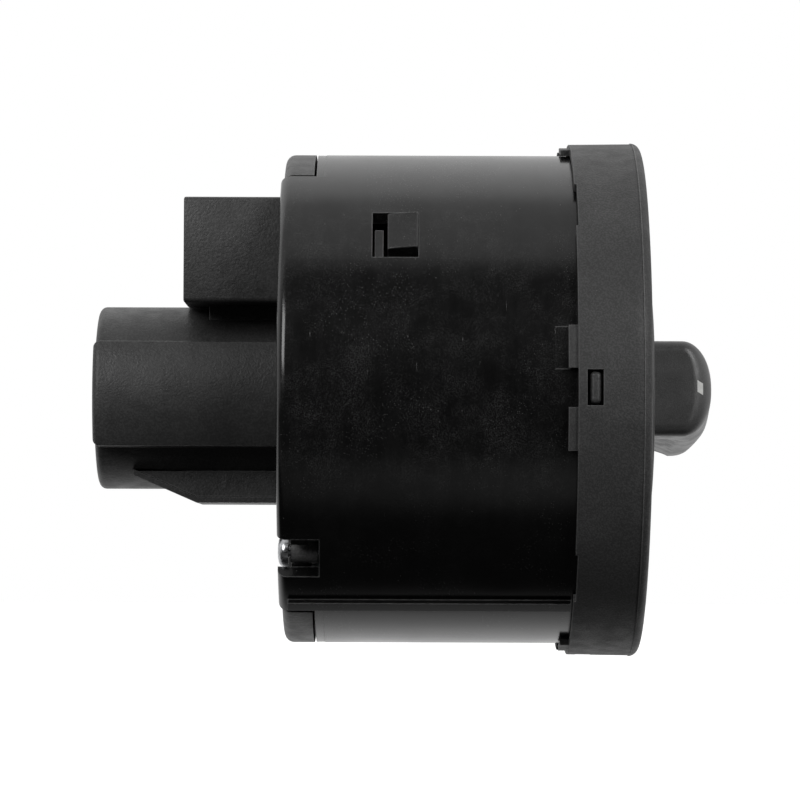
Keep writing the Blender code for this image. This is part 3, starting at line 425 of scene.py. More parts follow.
MATERIALS = {
    "black_plastic": housing_plastic(),
    "grained_plastic": grained("grained_plastic", 0.055, 0.50, 4.4, 0.052 * MM, 0.012, 0.28),
    "knob_plastic": grained("knob_plastic", 0.084, 0.36, 9.0, 0.010 * MM),
    "socket_plastic": grained("socket_plastic", 0.038, 0.44, 3.6, 0.044 * MM, 0.018),
    # A lighter copy of the socket plastic for the cover lugs: painted light, so the lugs look lit.
    "painted_lit_lug_plastic": grained("painted_lit_lug_plastic", 0.16, 0.40, 3.6, 0.020 * MM),
    "dial_plastic": grained("dial_plastic", 0.018, 0.55, 8.0, 0.012 * MM),
    "natural_plastic": plain_plastic("natural_plastic", (0.62, 0.60, 0.54, 1.0), 0.42),
    "white_print": plain_plastic("white_print", (0.80, 0.80, 0.78, 1.0), 0.42, 1.5),
    "board_laminate": plain_plastic("board_laminate", (0.03, 0.16, 0.07, 1.0), 0.35, 0.8),
    "clear_plastic": clear_plastic("clear_plastic", (0.80, 0.84, 0.82, 1.0), 0.12),
    "lamp_glass": clear_plastic("lamp_glass", (0.90, 0.86, 0.70, 1.0), 0.05),
    "zinc_steel": metal("zinc_steel", (0.66, 0.67, 0.69, 1.0), 0.24),
    "tinned_brass": metal("tinned_brass", (0.74, 0.71, 0.64, 1.0), 0.28),
    "contact_copper": metal("contact_copper", (0.80, 0.47, 0.28, 1.0), 0.30),
    "spring_steel": metal("spring_steel", (0.52, 0.53, 0.55, 1.0), 0.30, (3.0, 3.0, 3.0)),
}


# ---------------------------------------------------------------- mesh tools
def at(x, radius, angle):
    return Vector((x, -radius * math.cos(angle), radius * math.sin(angle)))


def finish_mesh(shape, name, slot, body, nodes=(), bevel=None, segments=2, sharp=32.0):
    """Store a bmesh as a piece with its material, its body and its softened edges."""
    bmesh.ops.remove_doubles(shape, verts=shape.verts, dist=0.0005 * MM)
    bmesh.ops.recalc_face_normals(shape, faces=shape.faces)
    mesh = bpy.data.meshes.new(name)
    shape.to_mesh(mesh)
    shape.free()
    return finish_object(mesh, name, slot, body, nodes, bevel, segments, sharp)


def finish_object(mesh, name, slot, body, nodes=(), bevel=None, segments=2, sharp=32.0):
    mesh.shade_smooth()
    mesh.materials.clear()
    mesh.materials.append(MATERIALS[slot])
    piece = bpy.data.objects.new(name, mesh)
    bpy.context.scene.collection.objects.link(piece)
    if bevel:
        soften(piece, bevel, segments, sharp)
    else:
        mesh.set_sharp_from_angle(angle=math.radians(sharp))
    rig.ride(piece, body)
    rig.slot(piece, slot)
    if nodes:
        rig.replaces(piece, *nodes)
    return piece


def soften(piece, width, segments=2, sharp=32.0):
    bevel = piece.modifiers.new("edge_rounding", "BEVEL")
    bevel.width = width
    bevel.segments = segments
    bevel.limit_method = "ANGLE"
    bevel.angle_limit = math.radians(sharp)
    bevel.miter_outer = "MITER_ARC"
    bevel.harden_normals = True


def merged_lines(edges, low, high, step, closed=False):
    """Even steps from low to high, with the given edges in place of any step too near."""
    count = max(1, round((high - low) / step))
    fixed = sorted(e for e in edges if low - 1e-9 <= e <= high + 1e-9)
    lines = list(fixed)
    last = count if closed else count + 1
    for i in range(last):
        value = low + (high - low) * i / count
        if all(abs(value - e) > 0.4 * step for e in fixed):
            lines.append(value)
    if not closed:
        for end in (low, high):
            if all(abs(end - line) > 1e-7 for line in lines):
                lines.append(end)
    return sorted(lines)


INSIDE = -1


def shell_map(outer, inner, angles, level, offsets=(0.0,)):
    """A shell given by matching outer and inner profiles of (x, radius) points.

    level(k, angle) says what stands between profile points k and k + 1 at that
    angle: None for a hole, or the place of that wall's height in offsets, which
    lists how far each kind of wall stands above the outer profile, lowest first.
    """
    shape = bmesh.new()
    seen = {}

    def vertex(k, a, layer):
        a %= len(angles)
        key = (k, a, layer)
        if key not in seen:
            x, radius = inner[k] if layer < 0 else outer[k]
            if layer >= 0:
                radius += offsets[layer]
            seen[key] = shape.verts.new(at(x, radius, angles[a]))
        return seen[key]

    def face(corners):
        loop = []
        for corner in corners:
            if corner not in loop:
                loop.append(corner)
        if len(loop) > 2:
            shape.faces.new(loop)

    count = len(angles)
    levels = {}
    for a in range(count):
        width = (angles[(a + 1) % count] - angles[a]) % FULL_TURN
        middle = angles[a] + width / 2.0
        for k in range(len(outer) - 1):
            levels[k, a] = level(k, middle)

    def wall(ends, mine, theirs):
        """Close the step between this cell and a lower neighbour, or a hole."""
        bottom = INSIDE if theirs is None else theirs
        (k1, a1), (k2, a2) = ends
        for low in range(bottom, mine):
            face([vertex(k1, a1, low), vertex(k2, a2, low), vertex(k2, a2, low + 1),
                  vertex(k1, a1, low + 1)])

    for (k, a), here in levels.items():
        if here is None:
            continue
        b = a + 1
        face([vertex(k, a, here), vertex(k + 1, a, here), vertex(k + 1, b, here),
              vertex(k, b, here)])
        face([vertex(k, a, INSIDE), vertex(k, b, INSIDE), vertex(k + 1, b, INSIDE),
              vertex(k + 1, a, INSIDE)])
        wall(((k, a), (k, b)), here, levels.get((k - 1, a)))
        wall(((k + 1, a), (k + 1, b)), here, levels.get((k + 1, a)))
        wall(((k, a), (k + 1, a)), here, levels[k, (a - 1) % count])
        wall(((k, b), (k + 1, b)), here, levels[k, b % count])
    return shape


def within(angle, low, high):
    """Whether an angle lies between two others, going round from low to high."""
    return (angle - low) % FULL_TURN < (high - low) % FULL_TURN


def turned(profile, steps=192, closed=True):
    """Turn a profile of (x, radius) points about the axis; radius 0 ends a profile."""
    shape = bmesh.new()
    rings = []
    for x, radius in profile:
        if radius <= 0.0:
            rings.append([shape.verts.new((x, 0.0, 0.0))])
        else:
            rings.append([shape.verts.new(at(x, radius, FULL_TURN * i / steps))
                          for i in range(steps)])
    pairs = list(zip(rings, rings[1:]))
    if closed:
        pairs.append((rings[-1], rings[0]))
    for first, second in pairs:
        for i in range(steps):
            j = (i + 1) % steps
            corners = [first[i % len(first)], first[j % len(first)], second[j % len(second)],
                       second[i % len(second)]]
            loop = list(dict.fromkeys(corners))
            if len(loop) > 2:
                shape.faces.new(loop)
    return shape


def arc_points(centre_u, centre_v, radius, start, end, steps):
    """Points along an arc in a plane; angles are measured from its first axis."""
    points = []
    for i in range(steps + 1):
        angle = start + (end - start) * i / steps
        points.append((centre_u + radius * math.cos(angle), centre_v + radius * math.sin(angle)))
    return points


def lofted(rings):
    """Join rings of points, each with the same count, and cap both ends."""
    shape = bmesh.new()
    rows = [[shape.verts.new(point) for point in ring] for ring in rings]
    count = len(rows[0])
    for first, second in zip(rows, rows[1:]):
        for i in range(count):
            j = (i + 1) % count
            shape.faces.new((first[i], first[j], second[j], second[i]))
    shape.faces.new(rows[0])
    shape.faces.new(rows[-1])
    return shape


def prism(outline, near, far):
    """Run an outline of (x, z) points from one side to the other."""
    return lofted([[Vector((x, y, z)) for x, z in outline] for y in (near, far)])


def append_shape(shape, extra):
    """Add a finished bmesh to another, and free it."""
    mesh = bpy.data.meshes.new("extra")
    extra.to_mesh(mesh)
    extra.free()
    shape.from_mesh(mesh)
    bpy.data.meshes.remove(mesh)


def add_box(shape, low, high, turn=0.0):
    """Add a box to a bmesh; turn swings it about the X axis."""
    size = [h - l for l, h in zip(low, high)]
    middle = [(h + l) / 2.0 for l, h in zip(low, high)]
    stand = (Matrix.Rotation(-turn, 4, "X") @ Matrix.Translation(middle)
             @ Matrix.Diagonal((*size, 1.0)))
    bmesh.ops.create_cube(shape, size=1.0, matrix=stand)


# ---------------------------------------------------------------- housing
def make_housing():
    body = "housing_unit"
    recess_end = TONGUE_FRONT + 1.1 * MM
    rib_x = (HOUSING_REAR + 1.2 * MM, -0.2 * MM)
    xs = [WINDOW_REAR, WINDOW_FRONT, TONGUE_FRONT, SCREW_NOTCH_FRONT, recess_end, rib_x[1]]
    outer = arc_points(HOUSING_REAR + CORNER_R, HOUSING_R - CORNER_R, CORNER_R, math.pi,
                       QUARTER, 6)
    straight = merged_lines(xs, HOUSING_REAR + CORNER_R, HOUSING_NOSE, 2.5 * MM)
    outer += [(x, HOUSING_R) for x in straight[1:]]
    inner = [(x, HOUSING_IN_R) for x, _ in outer]
    half_window = WINDOW_HALF / HOUSING_R
    windows = [(angle - half_window, angle + half_window) for angle in LATCH_ANGLES.values()]
    half_tongue = math.asin((TONGUE_HALF + GAP) / HOUSING_R)
    tongues = [(side - half_tongue, side + half_tongue) for side in (QUARTER, -QUARTER)]
    edges = []
    for low, high in windows + tongues + [SCREW_NOTCH, RIB_SPAN, RIB_GROOVE]:
        edges += [low % FULL_TURN, high % FULL_TURN]
    angles = merged_lines(edges, 0.0, FULL_TURN, ANGLE_STEP, closed=True)
    deep, sunk, plain, raised = range(4)

    def level(k, angle):
        x = (outer[k][0] + outer[k + 1][0]) / 2.0
        if WINDOW_REAR < x < WINDOW_FRONT and any(within(angle, *w) for w in windows):
            return None
        if x < TONGUE_FRONT and any(within(angle, *t) for t in tongues):
            return None
        if x < SCREW_NOTCH_FRONT and within(angle, *SCREW_NOTCH):
            return None
        if x < recess_end and any(within(angle, *t) for t in tongues):
            return sunk
        if rib_x[0] < x < rib_x[1] and within(angle, *RIB_SPAN):
            return raised
        if rib_x[0] < x < rib_x[1] and within(angle, *RIB_GROOVE):
            return deep
        return plain

    shape = shell_map(outer, inner, angles, level, (-0.7 * MM, -0.05 * MM, 0.0, 0.7 * MM))
    web_x, web_front = 2.0 * MM, 4.0 * MM
    rim_r, bore_r = HOUSING_IN_R + 0.2 * MM, 13.2 * MM
    append_shape(shape, turned([(web_front, rim_r), (web_x, rim_r), (web_x, bore_r),
                                (web_front, bore_r)], 96))
    post_x, post_y = WINDOW_REAR + GAP, -HOUSING_IN_R - 0.9 * MM
    post_t, post_depth, post_z = 1.1 * MM, 3.0 * MM, (-5.2 * MM, 1.37 * MM)
    for angle in LATCH_ANGLES.values():
        add_box(shape, (post_x, post_y, post_z[0]),
                (post_x + post_t, post_y + post_depth, post_z[1]), angle)
    finish_mesh(shape, "housing_shell", "black_plastic", body, ["housing"], 0.14 * MM)
    for i, side in enumerate(SNAP_ANGLES):
        make_snap_hook(i, side)
    make_lead_in()


def make_snap_hook(i, side):
    """Rounded catch on the housing that shows in the bezel's slot."""
    hook = bmesh.new()
    play, rear_play, proud, root = 0.25 * MM, 0.35 * MM, 1.3 * MM, 1.0 * MM
    half = SLOT_HALF - play
    add_box(hook, (SLOT_X[0] + rear_play, -HOUSING_R - proud, -half),
            (SLOT_X[1] - play, -HOUSING_R + root, half), side)
    finish_mesh(hook, f"snap_hook_{i}", "socket_plastic", "housing_unit", (), 0.55 * MM, 5)


def make_lead_in():
    """Shallow worn ramp on the housing that leads up to the bezel's near tab."""
    near, far = (TAB_NEAR - 0.2 * MM) / HOUSING_R, (TAB_FAR - 0.3 * MM) / HOUSING_R
    low, high = BEZEL_TAB_X - 2.3 * MM, BEZEL_TAB_X + 0.3 * MM
    section = [(low, -0.06 * MM), (low + 0.2 * MM, -0.03 * MM), (high, 0.12 * MM),
               (high, -0.05 * MM)]
    steps = 8
    rings = []
    for i in range(steps + 1):
        angle = near + (far - near) * i / steps
        rings.append([at(x, HOUSING_R + rise, angle) for x, rise in section])
    finish_mesh(lofted(rings), "tab_lead_in", "black_plastic", "housing_unit")


# ---------------------------------------------------------------- bezel
def make_bezel():
    body = "housing_unit"
    face = 1.8 * MM
    lip_x = BEZEL_FRONT - 1.25 * MM
    round_r, proud, lip = 1.15 * MM, 0.10 * MM, 0.9 * MM
    draft = (BEZEL_R - proud - BEZEL_REAR_R) / lip_x

    def wall_r(x):
        return BEZEL_REAR_R + draft * max(0.0, x)

    notch_x = 0.3 * MM
    xs = merged_lines([*SLOT_X, 0.0, notch_x], BEZEL_TAB_X, lip_x, 1.2 * MM)
    outer = [(x, wall_r(x)) for x in xs]
    inner = [(x, BEZEL_BORE_R) for x in xs]
    groove = 0.02 * MM
    groove_r = wall_r(lip_x) - groove
    outer += [(lip_x + 0.04 * MM, groove_r), (lip_x + 0.16 * MM, groove_r),
              (lip_x + 0.20 * MM, BEZEL_R - groove)]
    corner = arc_points(BEZEL_FRONT - round_r, BEZEL_R - round_r, round_r, QUARTER, 0.0, 8)
    outer += corner
    flat = merged_lines([], DIAL_BORE_R + lip, BEZEL_R - round_r, 2.2 * MM)
    outer += [(BEZEL_FRONT, r) for r in reversed(flat[:-1])]
    outer += arc_points(BEZEL_FRONT - lip, DIAL_BORE_R + lip, lip, 0.0, -QUARTER, 6)[1:]
    back = BEZEL_FRONT - face
    missing = len(outer) - len(inner)
    turn = 0.25
    for i in range(missing):
        share = (i + 1) / missing
        if share < turn:
            inner.append((lip_x + (back - lip_x) * share / turn, BEZEL_BORE_R))
        else:
            reach = (share - turn) / (1.0 - turn)
            inner.append((back, BEZEL_BORE_R + (DIAL_BORE_R - BEZEL_BORE_R) * reach))
    half_slot = SLOT_HALF / BEZEL_R
    near, far = TAB_NEAR / BEZEL_R, TAB_FAR / BEZEL_R
    slots = [(side - half_slot, side + half_slot) for side in SNAP_ANGLES]
    tabs = [(side + near, side + far) for side in SNAP_ANGLES]
    tabs += [(side - far, side - near) for side in SNAP_ANGLES]
    half_notch = math.radians(7.0)
    rim = [side + math.radians(45.0) for side in SNAP_ANGLES]
    notches = [(middle - half_notch, middle + half_notch) for middle in rim]
    edges = []
    for low, high in slots + tabs + notches:
        edges += [low % FULL_TURN, high % FULL_TURN]
    angles = merged_lines(edges, 0.0, FULL_TURN, ANGLE_STEP, closed=True)

    lowered, flush = 0, 1

    def level(k, angle):
        x = (outer[k][0] + outer[k + 1][0]) / 2.0
        if x < 0.0:
            return lowered if any(within(angle, *t) for t in tabs) else None
        if x < notch_x and any(within(angle, *n) for n in notches):
            return None
        on_wall = outer[k][1] > BEZEL_BORE_R + 0.3 * MM
        if on_wall and SLOT_X[0] < x < SLOT_X[1] and any(within(angle, *s) for s in slots):
            return None
        return flush

    shape = shell_map(outer, inner, angles, level, (-0.45 * MM, 0.0))
    finish_mesh(shape, "bezel_ring", "grained_plastic", body, ["bezel"], 0.14 * MM)


# ---------------------------------------------------------------- rear cover and sockets
def make_rear_cover():
    body = "housing_unit"
    face_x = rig.box("rear_cover")[0].x + 1.6 * MM
    front_x = face_x + 2.2 * MM
    disc_r = HOUSING_IN_R - GAP
    notch, notch_depth, steps = 3.0 * MM / disc_r, 4.2 * MM, 360
    rings = []
    for x in (front_x, face_x):
        ring = []
        for i in range(steps):
            angle = FULL_TURN * (i + 0.5) / steps
            off = min(abs((angle - s + math.pi) % FULL_TURN - math.pi) for s in SCREW_ANGLES)
            ring.append(at(x, disc_r - (notch_depth if off < notch else 0.0), angle))
        rings.append(ring)
    shape = lofted(rings)
    finish_mesh(shape, "cover_disc", "socket_plastic", body, ["rear_cover"], 0.12 * MM)
    make_tongues(body)
    for angle in SCREW_ANGLES:
        make_lug(face_x, angle, body)


def make_tongues(body):
    """The two snap tongues that fill the housing's rear notches."""
    side_play = math.radians(0.15)
    half = math.asin(TONGUE_HALF / HOUSING_R) - side_play
    start, reach = TONGUE_REAR + CORNER_R, TONGUE_FRONT - GAP
    outer = arc_points(start, HOUSING_R - CORNER_R, CORNER_R, math.pi, QUARTER, 6)
    outer += [(x, HOUSING_R) for x in merged_lines([], start, reach, 0.9 * MM)[1:]]
    inner = [(x, HOUSING_R - 2.5 * MM) for x, _ in outer]
    spans = [(side - half, side + half) for side in (QUARTER, -QUARTER)]
    edges = [value % FULL_TURN for span in spans for value in span]
    angles = merged_lines(edges, 0.0, FULL_TURN, ANGLE_STEP, closed=True)

    def level(k, angle):
        return 0 if any(within(angle, *s) for s in spans) else None

    shape = shell_map(outer, inner, angles, level)
    finish_mesh(shape, "cover_tongues", "socket_plastic", body, (), 0.10 * MM)


def make_lug(face_x, angle, body):
    centre = at(0.0, HOUSING_IN_R - 2.4 * MM, angle)
    end_x, lug_r = face_x + 3.5 * MM, 1.55 * MM
    shape = turned([(end_x, 0.0), (end_x, lug_r), (face_x, lug_r), (face_x, 0.0)], 32,
                   closed=False)
    bmesh.ops.translate(shape, verts=shape.verts, vec=centre)
    name = f"cover_lug_{round(math.degrees(angle)) % 360}"
    lug = finish_mesh(shape, name, "socket_plastic", body, (), 0.08 * MM)
    # The lugs take the lighter copy of the socket plastic, which paints them as lit.
    lug.data.materials[0] = MATERIALS["painted_lit_lug_plastic"]


def rolled_in(outline, mouth, edge, steps):
    """Rings of an outline that round off the outside of a socket's mouth."""
    rings = []
    for i in range(steps + 1):
        lean = QUARTER * i / steps
        rings.append(outline(mouth + edge * (1.0 - math.sin(lean)), edge * (1.0 - math.cos(lean))))
    return rings


def make_round_socket():
    low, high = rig.box("round_socket")
    mouth, base = low.x, high.x
    main_r, key_r, key_half = high.z, -low.y, 6.8 * MM
    wall, edge, chamfer = 1.4 * MM, 0.9 * MM, 0.25 * MM

    def outline(x, inset):
        """Round with a raised key band on either side, drawn in by an inset."""
        radius, key, half = main_r - inset, key_r - inset, key_half - inset
        wide, narrow = math.asin(half / radius), math.asin(half / key)
        key_flat, main_flat = key * math.cos(narrow), radius * math.cos(wide)

        def arc(reach, start, span, steps):
            return [at(x, reach, start + span * i / steps) for i in range(steps + 1)]

        def flank(first, last, way, z):
            return [Vector((x, way * (first + (last - first) * i / 4.0), z))
                    for i in range(1, 4)]

        points = []
        for side, way in ((0.0, -1.0), (math.pi, 1.0)):
            points += arc(key, side - narrow, 2.0 * narrow, 14)
            points += flank(key_flat, main_flat, way, -way * half)
            points += arc(radius, side + wide, math.pi - 2.0 * wide, 40)
            points += flank(main_flat, key_flat, -way, -way * half)
        return points

    rings = [outline(base, 0.0), outline((base + mouth) / 2.0, 0.0)]
    rings += rolled_in(outline, mouth, edge, 6)
    rings += [outline(mouth, wall - chamfer), outline(mouth + chamfer, wall),
              outline(base - SOCKET_FLOOR_T, wall)]
    finish_mesh(lofted(rings), "round_socket_shell", "socket_plastic", "housing_unit",
                ["round_socket"], 0.20 * MM, 3)
    make_ramp(mouth, base, low.z)


def make_ramp(mouth, base, bottom):
    """Locking ramp below the round socket: a thin plate over a narrower core."""
    tip = mouth + 4.9 * MM
    knee = tip + 8.3 * MM
    tip_z = bottom + 3.6 * MM
    top = bottom + 4.2 * MM
    plate_half, core_half, plate_t = 8.0 * MM, 7.4 * MM, 0.8 * MM
    under = [(tip, tip_z), (knee, bottom), (base, bottom)]
    seam = [(x, z + plate_t) for x, z in under]
    core_top = [(x, top) for x, _ in under]
    shape = prism(under + seam[::-1], -plate_half, plate_half)
    append_shape(shape, prism(seam + core_top[::-1], -core_half, core_half))
    finish_mesh(shape, "socket_ramp", "socket_plastic", "housing_unit", (), 0.08 * MM)


def make_block_socket():
    low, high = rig.box("block_socket")
    mouth, base = low.x, high.x
    half, top, bottom = high.y, high.z, low.z
    wall, edge, chamfer = 1.3 * MM, 0.25 * MM, 0.2 * MM
    corner_r, least_r = 0.6 * MM, 0.12 * MM
    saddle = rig.box("round_socket")[1].z + GAP

    def outline(x, inset, arched=True):
        """Rounded rectangle, its underside arched over the round socket."""
        corner = max(least_r, corner_r - inset)
        low_z = bottom + inset
        side, upper, lower = half - inset - corner, top - inset - corner, low_z + corner

        def rounded(y, z, start):
            return arc_points(y, z, corner, start, start + QUARTER, 4)

        steps = 28
        points = rounded(-side, upper, QUARTER) + rounded(-side, lower, math.pi)
        for i in range(1, steps):
            y = (-1.0 + 2.0 * i / steps) * side
            z = low_z
            if arched and abs(y) < saddle:
                z = max(low_z, math.sqrt(saddle ** 2 - y ** 2) + inset)
            points.append((y, z))
        points += rounded(side, lower, -QUARTER) + rounded(side, upper, 0.0)
        return [Vector((x, y, z)) for y, z in points]

    rings = [outline(base, 0.0)] + rolled_in(outline, mouth, edge, 3)
    rings += [outline(mouth, wall - chamfer, False), outline(mouth + chamfer, wall, False),
              outline(base - SOCKET_FLOOR_T, wall, False)]
    finish_mesh(lofted(rings), "block_socket_shell", "socket_plastic", "housing_unit",
                ["block_socket"], 0.12 * MM)
    web = bmesh.new()
    web_x, web_half, web_low = mouth + 3.0 * MM, 6.8 * MM, 9.2 * MM
    add_box(web, (web_x, -web_half, web_low), (base, web_half, bottom + GAP))
    finish_mesh(web, "socket_web", "socket_plastic", "housing_unit", (), 0.10 * MM)


# ---------------------------------------------------------------- screws
def make_screws():
    """Pan-head screws with a cross recess."""
    shank_r, head_t, rim_t, round_r, flat_inset = (size * MM for size in (0.75, 1.3, 0.35, 0.9, 1.1))
    for i in range(3):
        node = f"cover_screw_{i + 1}"
        low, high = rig.box(node)
        centre = Vector((0.0, (low.y + high.y) / 2.0, (low.z + high.z) / 2.0))
        head_r = (high.y - low.y) / 2.0
        rear = low.x
        seat = rear + head_t
        rim_x = seat - rim_t
        profile = [(high.x, 0.0), (high.x, shank_r), (seat, shank_r), (seat, head_r)]
        profile += arc_points(rim_x, head_r - round_r, round_r, QUARTER, math.pi, 6)
        profile += [(rear, head_r - flat_inset), (rear, 0.0)]
        shape = turned(profile, 64, closed=False)
        cut_recess(shape, rear)
        bmesh.ops.translate(shape, verts=shape.verts, vec=centre)
        finish_mesh(shape, node + "_fine", "zinc_steel", "housing_unit", [node], sharp=40.0)


def cut_recess(shape, rear):
    """A cross recess, as a sunk star in the middle of the head."""
    middle = [f for f in shape.faces if abs(f.calc_center_median().x - rear) < 1e-6]
    bmesh.ops.delete(shape, geom=middle, context="FACES_ONLY")
    rim = [e for e in shape.edges if e.is_boundary]
    ring = sorted({v for e in rim for v in e.verts}, key=lambda v: math.atan2(v.co.z, v.co.y))
    ring = [v for v in ring if v.co.yz.length > 1e-6]
    arm, waist, depth, taper = 0.95 * MM, 0.30 * MM, 0.7 * MM, 0.55
    count = len(ring)
    rows = []
    for x, share in ((rear, 1.0), (rear + depth, taper)):
        row = []
        for v in ring:
            angle = math.atan2(v.co.z, v.co.y)
            lobes = abs(math.cos(2.0 * angle)) ** 6.0
            radius = (waist + (arm - waist) * lobes) * share
            row.append(shape.verts.new((x, radius * math.cos(angle), radius * math.sin(angle))))
        rows.append(row)
    for first, second in ((ring, rows[0]), (rows[0], rows[1])):
        for i in range(count):
            j = (i + 1) % count
            shape.faces.new((first[i], first[j], second[j], second[i]))
    shape.faces.new(rows[1])
    loose = [v for v in shape.verts if not v.link_faces]
    bmesh.ops.delete(shape, geom=loose, context="VERTS")


# ---------------------------------------------------------------- latches
def make_latches():
    for name, angle in LATCH_ANGLES.items():
        top = HOUSING_R + 0.40 * MM
        nose = WINDOW_FRONT - 0.06 * MM
        half, shift, deep = 3.0 * MM, 0.5 * MM, 7.0 * MM
        fall, lead, blunt, chamfer = 0.40 * MM, 0.3 * MM, 0.25 * MM, 0.1 * MM
        outline = [(LATCH_REAR, top - fall - 0.5 * lead), (LATCH_REAR + lead, top - fall),
                   (nose - blunt, top), (nose, top - chamfer),
                   (nose, top - deep), (LATCH_REAR, top - deep)]
        shape = lofted([[Vector((x, -r, z)) for x, r in outline]
                        for z in (shift - half, shift + half)])
        bmesh.ops.rotate(shape, verts=shape.verts, matrix=Matrix.Rotation(-angle, 3, "X"))
        pin_r, sunk = 0.9 * MM, 0.2 * MM
        pin_x = (LATCH_FRONT - sunk + LATCH_PIN_END) / 2.0
        stand = Matrix.Translation(at(pin_x, HOUSING_IN_R - 2.9 * MM, angle))
        bmesh.ops.create_cone(shape, cap_ends=True, segments=24, radius1=pin_r, radius2=pin_r,
                              depth=LATCH_PIN_END - LATCH_FRONT + sunk,
                              matrix=stand @ Matrix.Rotation(QUARTER, 4, "Y"))
        finish_mesh(shape, name + "_hook", "black_plastic", name, [name], 0.12 * MM)


# ---------------------------------------------------------------- knob
def smooth_step(value, low, high):
    share = min(1.0, max(0.0, (value - low) / (high - low)))
    return share * share * (3.0 - 2.0 * share)


KNOB_HALF_LENGTH, KNOB_HALF_WIDTH = 14.6 * MM, 6.2 * MM
KNOB_CROWN, KNOB_FALL = 0.25 * MM, 0.45 * MM
END_ROUND, END_DEPTH = 2.4 * MM, 2.6 * MM


def make_knob():
    """Bar grip: flat end towards the mark, domed front, flanks scooped for the fingers."""
    disc_x, front = span_x("knob")
    disc_t, disc_edge = 1.1 * MM, 0.5 * MM
    base = disc_x + disc_t - disc_edge
    flat_x = front - 4.0 * MM
    corner, scoop_depth = 1.5 * MM, 1.3 * MM
    stations, flank_steps, dome_steps = 96, 10, 16
    sections = []
    for station in range(stations + 1):
        y = KNOB_HALF_LENGTH * math.sin(QUARTER * (2.0 * station / stations - 1.0))
        rest = KNOB_HALF_LENGTH - abs(y)
        pull = corner - math.sqrt(max(0.0, corner ** 2 - max(0.0, corner - rest) ** 2))
        bend = max(0.0, 1.0 - rest / END_DEPTH)
        drop = END_ROUND * (1.0 - math.sqrt(max(0.0, 1.0 - bend ** 2)))
        wide = KNOB_HALF_WIDTH - pull
        crown = front + KNOB_CROWN - KNOB_FALL * (y / KNOB_HALF_LENGTH) ** 2 - drop
        scoop = scoop_depth * smooth_step(y, -10.0 * MM, -4.0 * MM)
        full = 0.92 - 0.26 * smooth_step(y, -13.0 * MM, -3.0 * MM)
        section = []
        for side in (1.0, -1.0):
            flank = []
            for i in range(flank_steps + 1):
                x = base + (flat_x - base) * i / flank_steps
                depth = scoop * (1.0 - i / flank_steps) ** 0.8
                flank.append((x, side * (wide - depth)))
            dome = []
            for i in range(1, dome_steps + 1):
                lean = QUARTER * i / dome_steps
                dome.append((flat_x + (crown - flat_x) * math.sin(lean) ** full,
                             side * wide * math.cos(lean) ** full))
            half = flank + dome
            section += half if side > 0 else half[-2::-1]
        sections.append([Vector((x, y, z)) for x, z in section])
    shape = lofted(sections)
    bmesh.ops.rotate(shape, verts=shape.verts, matrix=Matrix.Rotation(-KNOB_ANGLE, 3, "X"))
    finish_mesh(shape, "knob_grip", "knob_plastic", "knob", ["knob"], sharp=38.0)
    disc_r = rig.box("knob")[1].z
    profile = [(disc_x + disc_t, 0.0)]
    profile += arc_points(base, disc_r - disc_edge, disc_edge, 0.0, QUARTER, 5)
    profile += [(disc_x, disc_r), (disc_x, 0.0)]
    finish_mesh(turned(profile, 160, closed=False), "knob_disc", "knob_plastic", "knob")


def make_pointer():
    """White mark on the grip's end, where the end face rolls over to the front."""
    rear, front = 16.25 * MM, 17.0 * MM
    half, slant, steps = 0.75 * MM, 0.2 * MM, 8
    proud, sunk = -0.03 * MM, 0.8 * MM
    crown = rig.box("knob")[1].x + KNOB_CROWN - KNOB_FALL
    rings = []
    for i in range(steps + 1):
        share = i / steps
        x = rear + (front - rear) * share
        sink = min(1.0, max(0.0, (crown - x) / END_ROUND))
        bend = math.sqrt(1.0 - (1.0 - sink) ** 2)
        y = -KNOB_HALF_LENGTH + END_DEPTH * (1.0 - bend)
        shift = slant * (2.0 * share - 1.0)
        rings.append([Vector((x, y + depth, side * half - shift))
                      for side, depth in ((-1.0, proud), (1.0, proud), (1.0, sunk), (-1.0, sunk))])
    shape = lofted(rings)
    bmesh.ops.rotate(shape, verts=shape.verts, matrix=Matrix.Rotation(-KNOB_ANGLE, 3, "X"))
    finish_mesh(shape, "pointer_inlay", "white_print", "knob", ["pointer_mark"])


# ---------------------------------------------------------------- springs
def make_coil(node, body, start, end, outer_r, wire_r, turns):
    """Round wire wound between two points, its ends a wire's radius inside them."""
    lead = (end - start).normalized()
    side = lead.orthogonal().normalized()
    up = lead.cross(side)
    centre_r = outer_r - wire_r
    reach = (end - start).length - 2.0 * wire_r
    steps, sides = 32 * turns, 8
    rings = []
    for i in range(steps + 1):
        angle = FULL_TURN * turns * i / steps
        out = side * math.cos(angle) + up * math.sin(angle)
        centre = start + lead * (wire_r + reach * i / steps) + out * centre_r
        rings.append([centre + out * (wire_r * math.cos(FULL_TURN * j / sides))
                      + lead * (wire_r * math.sin(FULL_TURN * j / sides)) for j in range(sides)])
    return finish_mesh(lofted(rings), node + "_wire", "spring_steel", body, [node])


def shorten(piece, joint_name, anchor, moving_end):
    """Let a spring shorten towards its fixed end as its joint closes the space."""
    joint = next(j for j in frame["record"]["behaviour"]["joints"] if j["name"] == joint_name)
    travel = max(abs(limit) for limit in joint["range_m"])
    length = (moving_end - anchor).length
    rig.squash(piece, joint_name, joint["axis"], anchor, 1.0 - travel / length)


